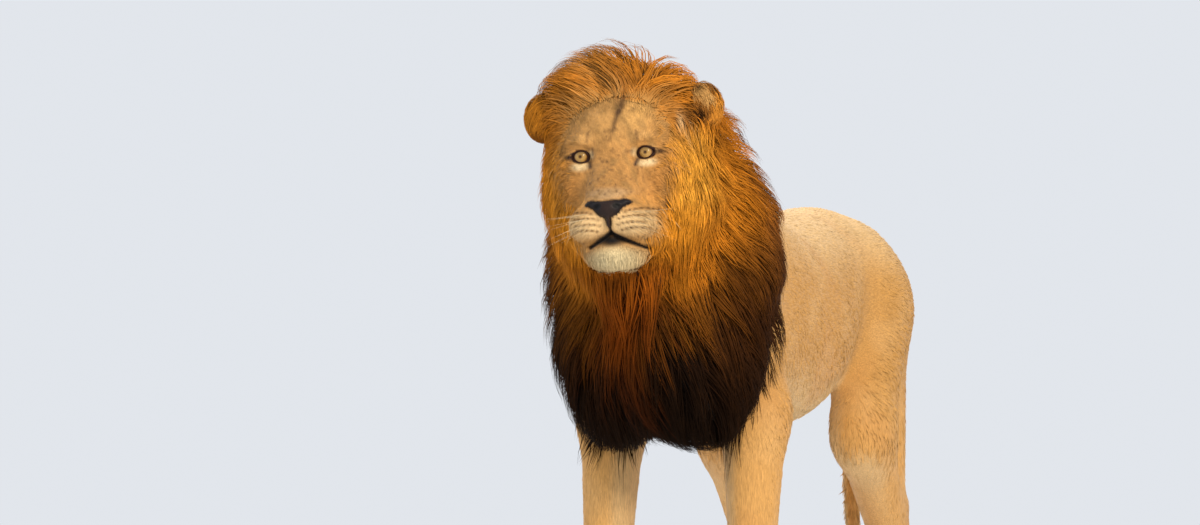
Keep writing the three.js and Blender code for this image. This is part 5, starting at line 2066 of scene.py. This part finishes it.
@dataclass(frozen=True)
class TailTuft:
    """The dark tuft of hair round the end of the tail."""

    count: int = 1500
    length: float = 150.0
    width: float = 3.4
    seed: int = 71
    LINE = ((20, 752, 322), (26, 772, 250), (36, 806, 165), (46, 836, 96))
    REACH = (16, 46, 44, 12)
    TAIL_LINE = (
        (0, 610, 955), (0, 690, 918), (4, 742, 810), (10, 752, 640), (14, 740, 480), (20, 752, 330), (28, 782, 230),
    )  # fmt: skip
    TAIL_RADII = (44, 32, 24, 20, 17, 15, 12)

    def at(self, t: Array) -> Array:
        """Points on the middle line of the tuft, t from 0 to 1."""
        stops = np.linspace(0, 1, len(self.LINE))
        return np.stack([np.interp(t, stops, np.array(self.LINE)[:, k]) for k in range(3)], axis=-1)

    def build(self, material: Material) -> None:
        """Builds the tuft as one piece."""
        draw = np.random.default_rng(self.seed)
        start = draw.uniform(0.0, 0.62, self.count)
        end = np.minimum(1.0, start + draw.uniform(0.3, 0.55, self.count))
        turn = draw.uniform(0, 2 * math.pi, self.count)
        away = np.stack([np.cos(turn), 0.8 * np.sin(turn), 0.6 * np.sin(turn)], axis=1)
        share = np.linspace(0, 1, 5)[None]
        t = start[:, None] + (end - start)[:, None] * share
        reach = np.interp(t, np.linspace(0, 1, 4), self.REACH) * draw.uniform(0.35, 1.05, (self.count, 1))
        spread = 0.25 + 0.75 * share**0.7
        paths = self.at(t) + away[:, None] * (reach * spread)[..., None]
        tint = Hue.TUFT * np.exp(0.3 * draw.normal(size=(self.count, 1)))
        high = smooth(start, 0.12, 0.0)[:, None]
        tint = tint + 0.6 * high * (Hue.LEG * 0.6 - tint)
        # painted shade: each hair darker at its root and lighter towards its tip
        shade = np.array([0.6, 0.8, 1.0, 1.1, 1.2])
        strands = Strands(
            paths=paths,
            outs=np.repeat(away[:, None], 4, axis=1),
            widths=self.width * draw.uniform(0.7, 1.2, self.count),
            tints=tint[:, None] * shade[None, :, None],
            roots_uv=Unwrap(self.LINE[0], (0.1, 0.3, -0.95), (0, -1, 0)).of(paths[:, 0]),
        )
        declare(strands.piece("tail_tuft_hair", material), "mane", "tail_tuft")


# ---- short coat


@dataclass(frozen=True)
class Coat:
    """The short coat, as tufts in stretches that grow smaller towards the face and the feet."""

    trunk_map: Unwrap = Unwrap((0, 0, 850), (0, 1, 0), (0, 0, -1))
    head_map: Unwrap = Unwrap((10, -900, 1120), (0, 0, 1), (0, 1, 0))

    def stretches(self, shell: Shell) -> list[tuple[Tufts, Array]]:
        """Each stretch with how densely its tufts grow at each point of the skin."""
        x, y, z = shell.points.T
        hx, hy, hz = HEAD.into(shell.points).T
        bare = 1 - smooth(Mane.cover(shell), 0.45, 1.0)
        head = smooth(y, -835, -850) * bare
        off_eye = np.min([np.hypot((hx - s * EYE_X) / 23, hz / 17) for s in (1, -1)], axis=0)
        lips = Crease(MOUTH_LINE, 3.4).weight(hx, hz) + Patch(Hue.LOWER_LIP, (0, -172), (26, 10)).weight(hx, hz)
        face = head * (off_eye > 1) * (ANATOMY.nose.at(shell.points) > 4) * np.clip(1 - lips, 0, 1)
        body = (1 - head) * bare * (y < TAIL_Y)
        low = smooth(z, 560, 520)
        legs = low * (1 + 0.8 * smooth(z, 200, 100)) * smooth(z, 8, 16)
        stretches = []
        for side in (1, -1):
            here, name = (x * side > 0) * body, side_name(side)
            leg_map = Unwrap((side * 146, 60, 0), (0, 0, 1), (-side, 0, 0))
            size = (f"coat_trunk_{name}", 25, 3.2, 11000, 51 + side, self.trunk_map)
            trunk = Tufts(*size, lift=0.055, spread=0.16, thick=0.14, vary=0.07, soft=0.96)
            size = (f"coat_legs_{name}", 16, 2.4, 6000, 55 + side, leg_map)
            limbs = Tufts(*size, lift=0.07, spread=0.18, thick=0.16, vary=0.08, soft=0.96)
            stretches += [(trunk, here * (1 - low)), (limbs, here * legs)]
        tail_map = Unwrap((10, 745, 0), (0, 0, 1), (0, -1, 0))
        stretches.append((Tufts("coat_tail", 20, 2.6, 1600, 59, tail_map), (y >= TAIL_Y) * (z > 330) * 1.0))
        fine = Tufts("coat_face", 10.5, 1.5, 15000, 61, self.head_map, 0.13, 0.18, 0.0, 0.25, 0.16, 0.88)
        stretches.append((fine, face * (1 + 0.5 * smooth(hy, -20, -60))))
        return stretches

    def chin(self, shell: Shell) -> tuple[Tufts, Array]:
        """The short white beard that hangs from the chin."""
        x, y, z = HEAD.into(shell.points).T
        here = np.exp(-((x / 50) ** 8)) * smooth(mouth_height(x) - z, 7, 12) * smooth(y, -20, -50)
        here *= (np.hypot(x / 24, (z + 172) / 14) > 1) * 1.0
        return Tufts("coat_beard", 7.5, 1.7, 3600, 63, self.head_map, 0.2, 0.2, 0.35, 0.3, 0.2, 0.65), here

    def build(self, shell: Shell, material: Material) -> None:
        """Builds the coat's pieces."""
        for tufts, density in (*self.stretches(shell), self.chin(shell)):
            declare(tufts.build(shell, density, material), "coat")


# ---- studio


@dataclass(frozen=True)
class Studio:
    """A pale floor, soft light and the camera."""

    camera_at: Point = (7.584, -25.708, 0.9)
    look: Point = (-0.2924, 0.9563, 0.00173)
    lens_mm: float = 390.0
    floor_radius: float = 14.0
    subject: Point = (0.0, -0.75, 1.05)
    LAMPS = (
        ("key", (5.2, -5.2, 4.6), 2.6, 520, "#FFF1DC"),
        ("fill", (-6.6, -3.6, 3.4), 3.6, 50, "#EAF1FF"),
        ("rim", (-2.6, 3.6, 4.2), 2.4, 260, "#FFF4E4"),
    )

    def lamp(self, name: str, at: Point, size: float, watts: float, colour: str) -> None:
        """One large soft lamp that looks at the lion."""
        light = bpy.data.lights.new(name, "AREA")
        light.shape, light.size, light.energy = "DISK", size, watts
        light.color = linear(colour)
        lamp = placed(name, light)
        lamp.location = at
        lamp.rotation_euler = (Vector(self.subject) - Vector(at)).to_track_quat("-Z", "Y").to_euler()

    def floor(self) -> None:
        """A matt, pale, round floor."""
        turn = np.linspace(0, 2 * math.pi, 96, endpoint=False)
        rim = np.stack([np.cos(turn), np.sin(turn), 0 * turn], axis=1) * self.floor_radius
        mesh = bpy.data.meshes.new("floor")
        mesh.from_pydata((rim - np.array([0, 0, 0.001])).tolist(), [], [list(range(96))])
        mesh.materials.append(PlasterFinish("floor_plaster").material())
        placed("floor", mesh)

    def build(self) -> None:
        """Sets floor, light, sky and camera."""
        scene = bpy.context.scene
        self.floor()
        for lamp in self.LAMPS:
            self.lamp(*lamp)
        world = bpy.data.worlds.new("studio")
        world.use_nodes = True
        sky = {"Color": (*linear("#E7EBF1"), 1), "Strength": 0.95}
        connect(world.node_tree, world.node_tree.nodes["Background"], sky)
        scene.world = world
        camera = bpy.data.cameras.new("camera")
        camera.sensor_width, camera.lens = 36.0, self.lens_mm
        camera.clip_start, camera.clip_end = 0.5, 300.0
        holder = placed("camera", camera)
        holder.location = self.camera_at
        holder.rotation_euler = Vector(self.look).to_track_quat("-Z", "Y").to_euler()
        scene.camera = holder
        scene.view_settings.view_transform = "Standard"


# ---- the lion


def main() -> None:
    """Builds the lion piece by piece."""
    logging.basicConfig(level=logging.INFO, format="%(name)s: %(message)s")
    Studio().build()
    finishes = Finishes()
    shell, ears = Skin().build(finishes.pelt)
    for side in (1, -1):
        eye = Eye(side)
        eye.build(finishes.eye)
        Lids(eye).build(finishes.lid)
    Nose().build(finishes.nose)
    Whiskers().build(finishes.whisker)
    Coat().build(shell, finishes.coat)
    Mane().build(shell, finishes.mane)
    for hair, ear in zip(EAR_HAIR, ears):
        hair.build(ear, finishes.mane)
    TailTuft().build(finishes.mane)


if __name__ == "__main__":
    main()
